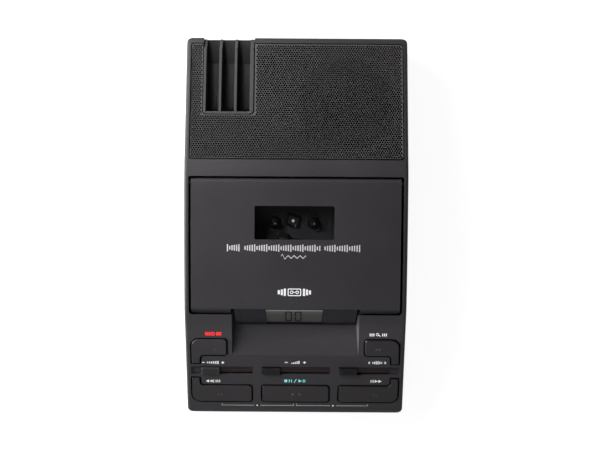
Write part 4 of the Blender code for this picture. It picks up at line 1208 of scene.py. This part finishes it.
def search_print():
    """Magnifier between strokes."""
    v = print_v(-74.0)
    handle = [(57.3, v - 0.35), (58.4, v - 1.45), (58.8, v - 1.05), (57.7, v + 0.05)]
    return (ring_bits(56.6, v + 0.25, 1.15, 0.46) + [handle]
            + strokes(v, 1.25, [1.1] * 3, (51.2, 51.95), (59.8, 60.55)))


def fader_print():
    """Scales behind the speed, volume and tone sliders."""
    v = print_v(-94.7)
    marks = [rect(-64.9, -63.0, v - 0.28, v + 0.28)] + plus(-50.4, v, 0.7)
    marks += strokes(v, 1.45, [0.6 + 0.12 * k for k in range(6)], (-61.4, -60.6))
    v = print_v(-94.3)
    marks += [rect(-7.3, -5.2, v - 0.34, v + 0.34)] + plus(6.5, v, 0.75)
    marks += [rect(-2.8 + 1.25 * k, -2.0 + 1.25 * k, v - 1.15, v - 0.35 + 0.4 * k)
              for k in range(5)]
    v = print_v(-94.2)
    marks += diamond(51.5, v) + diamond(62.6, v)
    return marks + strokes(v, 1.22, (0.6, 0.95, 1.25, 1.25, 0.95, 0.6), (53.6, 54.4))


def winding_print():
    """Signs behind the rewind and wind keys."""
    v = print_v(-108.3)
    marks = [triangle(-61.4, v, 2.2, 2.3, -1), triangle(-58.9, v, 2.2, 2.3, -1)]
    marks += strokes(v, 0.0, [1.1], (-57.3, -56.8))
    marks += strokes(v, 1.25, [0.95] * 3, (-55.7, -55.05))
    v = print_v(-107.8)
    marks += [triangle(56.9, v, 2.4, 2.5, 1), triangle(59.5, v, 2.4, 2.5, 1)]
    return marks + [rect(54.3, 55.0, v - 1.1, v + 1.1), rect(52.9, 53.6, v - 0.9, v + 0.9)]


def stop_play_print():
    v = print_v(-107.9)
    slash = [(-0.9, v - 1.35), (-0.3, v - 1.35), (1.1, v + 1.35), (0.5, v + 1.35)]
    return [rect(-7.6, -5.5, v - 1.05, v + 1.05), rect(-4.4, -3.8, v - 1.1, v + 1.1),
            rect(-2.8, -2.2, v - 1.1, v + 1.1), slash, triangle(3.6, v, 2.5, 2.6, 1)
            ] + strokes(v, 1.1, [1.1] * 2, (5.4, 5.95))


BRACKETS = ((-51.7, -0.9, -26.7), (0.9, 51.4, 26.8))    # x of the ends and of the dot
BRACKET_V = print_v(-125.9)


def bracket_print():
    """Bracket lines in front of the front keys, broken round a dot."""
    low, high = BRACKET_V - 0.16, BRACKET_V + 0.16
    marks = []
    for x0, x1, middle in BRACKETS:
        marks += [rect(x0, middle - 2.2, low, high), rect(middle + 2.2, x1, low, high),
                  rect(x0, x0 + 0.36, high, BRACKET_V + 1.35),
                  rect(x1 - 0.36, x1, high, BRACKET_V + 1.35)]
    return marks


DOTS = [disc(middle, BRACKET_V, 0.55, 16) for *_, middle in BRACKETS]
# the panel prints glow: painted light
for name, ink, marks in (
    ("white", "print_bright_white", search_print() + fader_print() + winding_print() + DOTS),
    ("soft", "print_soft_white", bracket_print()),
    ("red", "print_red", power_print()),
    ("cyan", "print_cyan", stop_play_print()),
):
    piece("panel_print_" + name, prisms(marks, -0.02, 0.03), ink, "housing_plastic",
          place=PANEL, smooth=None)


# ------------------------------------------------------------------ print on the lid
def lid_print(name, outlines, ink):
    """Flat marks that follow the lid's curve."""
    verts, faces = prisms(outlines, -0.03, 0.03)
    shape = [(x, y, z_top(y) + z) for x, y, z in verts], faces
    piece("lid_print_" + name, shape, ink, "housing_plastic", body="lid", smooth=None)


def title_marks():
    """Three words as strokes of varying height."""
    y, width = -13.75, 0.8
    marks = []
    for x0, x1, seed in ((-46.8, -38.2, 0), (-34.9, 16.6, 3), (19.4, 43.6, 8)):
        n = int((x1 - x0) / 1.66)
        for k in range(n + 1):
            x = x0 + (x1 - x0 - width) * k / n
            half = (2.45, 1.7, 2.1, 1.25, 1.9)[(3 * k + seed) % 5]
            marks.append(rect(x, x + width, y - half, y + half))
    return marks


def script_marks():
    """A wavy line, tallest near its left end."""
    y, half, count = -19.75, 0.40, 90

    def wave(x):
        height = 0.75 + 1.0 * math.exp(-(x + 8.6) ** 2 / 2.5)
        return y + height * math.sin((x + 10.0) * 1.55 + 0.4)

    xs = [-10.0 + 16.9 * k / count for k in range(count + 1)]
    return [[(a, wave(a) - half), (b, wave(b) - half), (b, wave(b) + half), (a, wave(a) + half)]
            for a, b in zip(xs, xs[1:])]


def badge_marks():
    """Framed pair of rings between shrinking strokes."""
    x, y = -0.8, -43.9
    outer = round_rect(x - 4.6, x + 4.6, y - 2.6, y + 2.6, 0.9, 4)
    inner = round_rect(x - 3.95, x + 3.95, y - 1.95, y + 1.95, 0.5, 4)
    n = len(outer)
    marks = [[outer[i], outer[(i + 1) % n], inner[(i + 1) % n], inner[i]] for i in range(n)]
    for offset in (-1.9, 1.9):
        marks += ring_bits(x + offset, y, 1.2, 0.55, 0, 360, 14)
    marks.append(rect(x - 0.7, x + 0.7, y - 0.25, y + 0.25))
    for side in (-1, 1):
        for k, half in enumerate((2.5, 2.0, 1.4)):
            x0, x1 = sorted((side * (5.8 + 2.05 * k), side * (7.25 + 2.05 * k)))
            marks.append(rect(x + x0, x + x1, y - half, y + half))
    return marks


# the soft and bright white lid prints glow: painted light
lid_print("wave", title_marks(), "print_white")
lid_print("script", script_marks(), "print_soft_white")
lid_print("badge", badge_marks(), "print_bright_white")

# ------------------------------------------------------------------ materials of the CAD pieces
CAD_MATERIALS = {
    "foot_rubber": "foot_front_left foot_front_right foot_rear_left foot_rear_right "
                   "drive_belt idler_wheel",
    "black_moulding": "speaker_frame headphone_socket foot_control_socket dc_socket power_switch "
                      "search_switch rewind_switch stop_play_switch wind_switch",
    "cone_paper": "speaker_cone",
    "ferrite": "speaker_magnet",
    "plated_steel": "deck_plate drive_motor motor_bracket idler_arm head_carriage "
                    "cassette_spring_left cassette_spring_right case_screw_front_left "
                    "case_screw_front_right case_screw_rear_left case_screw_rear_right",
    "bright_pin": "drive_axle",
    "blackened_steel": "hinge_pin_left hinge_pin_right",
    "solder_resist": "control_board main_board",
    "turned_brass": "motor_pulley",
    "white_nylon": "drive_wheel",
    "fader_groove": "speed_fader volume_fader tone_fader",
}
for material, names in CAD_MATERIALS.items():
    for name in names.split():
        slots = NODES[name].data.materials
        slots.clear()
        slots.append(MATERIALS[material])


# ------------------------------------------------------------------ floor and surroundings
def make_floor():
    radius, sides = 2.6, 64    # metres
    mesh = bpy.data.meshes.new("floor")
    verts = [(0, 0, 0)] + [(x, y, 0) for x, y in disc(0, 0, radius, sides)]
    mesh.from_pydata(verts, [], [(0, 1 + i, 1 + (i + 1) % sides) for i in range(sides)])
    floor = bpy.data.objects.new("floor", mesh)
    scene.collection.objects.link(floor)
    graph = new_material("paper_sweep")
    mottle = graph.noise(graph.coords(), scale=8.0, detail=3.0, rough=0.5)
    graph.fill(graph.shader, {
        "Base Color": graph.ramp(mottle, [(0.3, 0.33), (0.7, 0.36)]),
        "Emission Color": (1.0, 1.0, 1.0, 1.0), "Emission Strength": 0.92,
        "Roughness": 0.9, "Specular IOR Level": 0.1})
    mesh.materials.append(MATERIALS["paper_sweep"])


def make_world():
    """Dim sky, black overhead, that the camera sees as near white."""
    low, middle = 0.18, 0.09    # sky brightness
    world = bpy.data.worlds.new("studio")
    scene.world = world
    world.use_nodes = True
    graph = Graph(world.node_tree)
    height = graph.split(graph.coords("Generated"))["Z"]
    sky = graph.ramp(height, [(0.0, low), (0.39, low), (0.45, middle), (0.74, middle),
                              (0.80, 0.0)])
    seen = graph.node("LightPath", {}).outputs["Is Camera Ray"]
    colour = graph.mix({"Factor": seen, "A": sky, "B": (0.97, 0.97, 0.975, 1.0)})
    graph.fill(world.node_tree.nodes["Background"], {"Color": colour, "Strength": 1.0})


make_floor()
make_world()


# ------------------------------------------------------------------ lights and camera (metres)
def light(name, kind, place, aim, watts, **settings):
    data = bpy.data.lights.new(name, kind)
    data.energy = watts
    for key, value in settings.items():
        setattr(data, key, value)
    ob = bpy.data.objects.new(name, data)
    scene.collection.objects.link(ob)
    ob.location = place
    ob.rotation_euler = (Vector(place) - Vector(aim)).to_track_quat("Z", "Y").to_euler()
    return ob


# Softboxes: name, place, size, watts
for name, place, size, watts in (
    ("key_softbox", (-0.34, 0.25, 0.40), 0.30, 3.35),
    ("left_softbox", (-0.52, 0.0, 0.12), 0.26, 3.6),
    ("front_softbox", (-0.10, -0.42, 0.46), 0.24, 0.20),
    ("front_panel", (0.0, -0.60, 0.55), 0.60, 0.50),
    ("rear_softbox", (-0.05, 0.50, 0.34), 0.30, 0.25),
):
    softbox = light(name, "AREA", place, (0.0, 0.02, 0.05), watts, shape="SQUARE", size=size)
    softbox.visible_camera = False

# Spots: name, place, aim, cone in degrees, source radius, watts
for name, place, aim, cone, radius, watts in (
    ("rack_beam", (-0.115, 0.000, 0.68), (-0.046, 0.121, 0.034), 9.0, 0.045, 7.0),
    ("ramp_beam", (-0.100, -0.30, 0.60), (-0.045, 0.125, 0.036), 2.6, 0.02, 5.0),
    ("trough_wall_beam", (-0.50, -0.078, 0.100), (0.0437, -0.0785, 0.0505), 3.0, 0.006, 30.0),
    ("trough_beam", (-0.20, 0.30, 0.75), (-0.026, -0.098, 0.046), 6.6, 0.05, 4.6),
):
    light(name, "SPOT", place, aim, watts, spot_size=math.radians(cone), spot_blend=0.5,
          shadow_soft_size=radius)


def make_camera():
    """Looks straight down from above."""
    data = bpy.data.cameras.new("camera")
    data.sensor_width = 36.0
    data.lens = 73.5
    camera = bpy.data.objects.new("camera", data)
    scene.collection.objects.link(camera)
    camera.location = (0.0027, 0.0020, 0.8934)
    camera.rotation_euler = (0.0, 0.0, math.radians(0.385))
    scene.camera = camera


make_camera()
scene.view_settings.view_transform = "Standard"
scene.view_settings.look = "None"

bpy.context.view_layer.update()
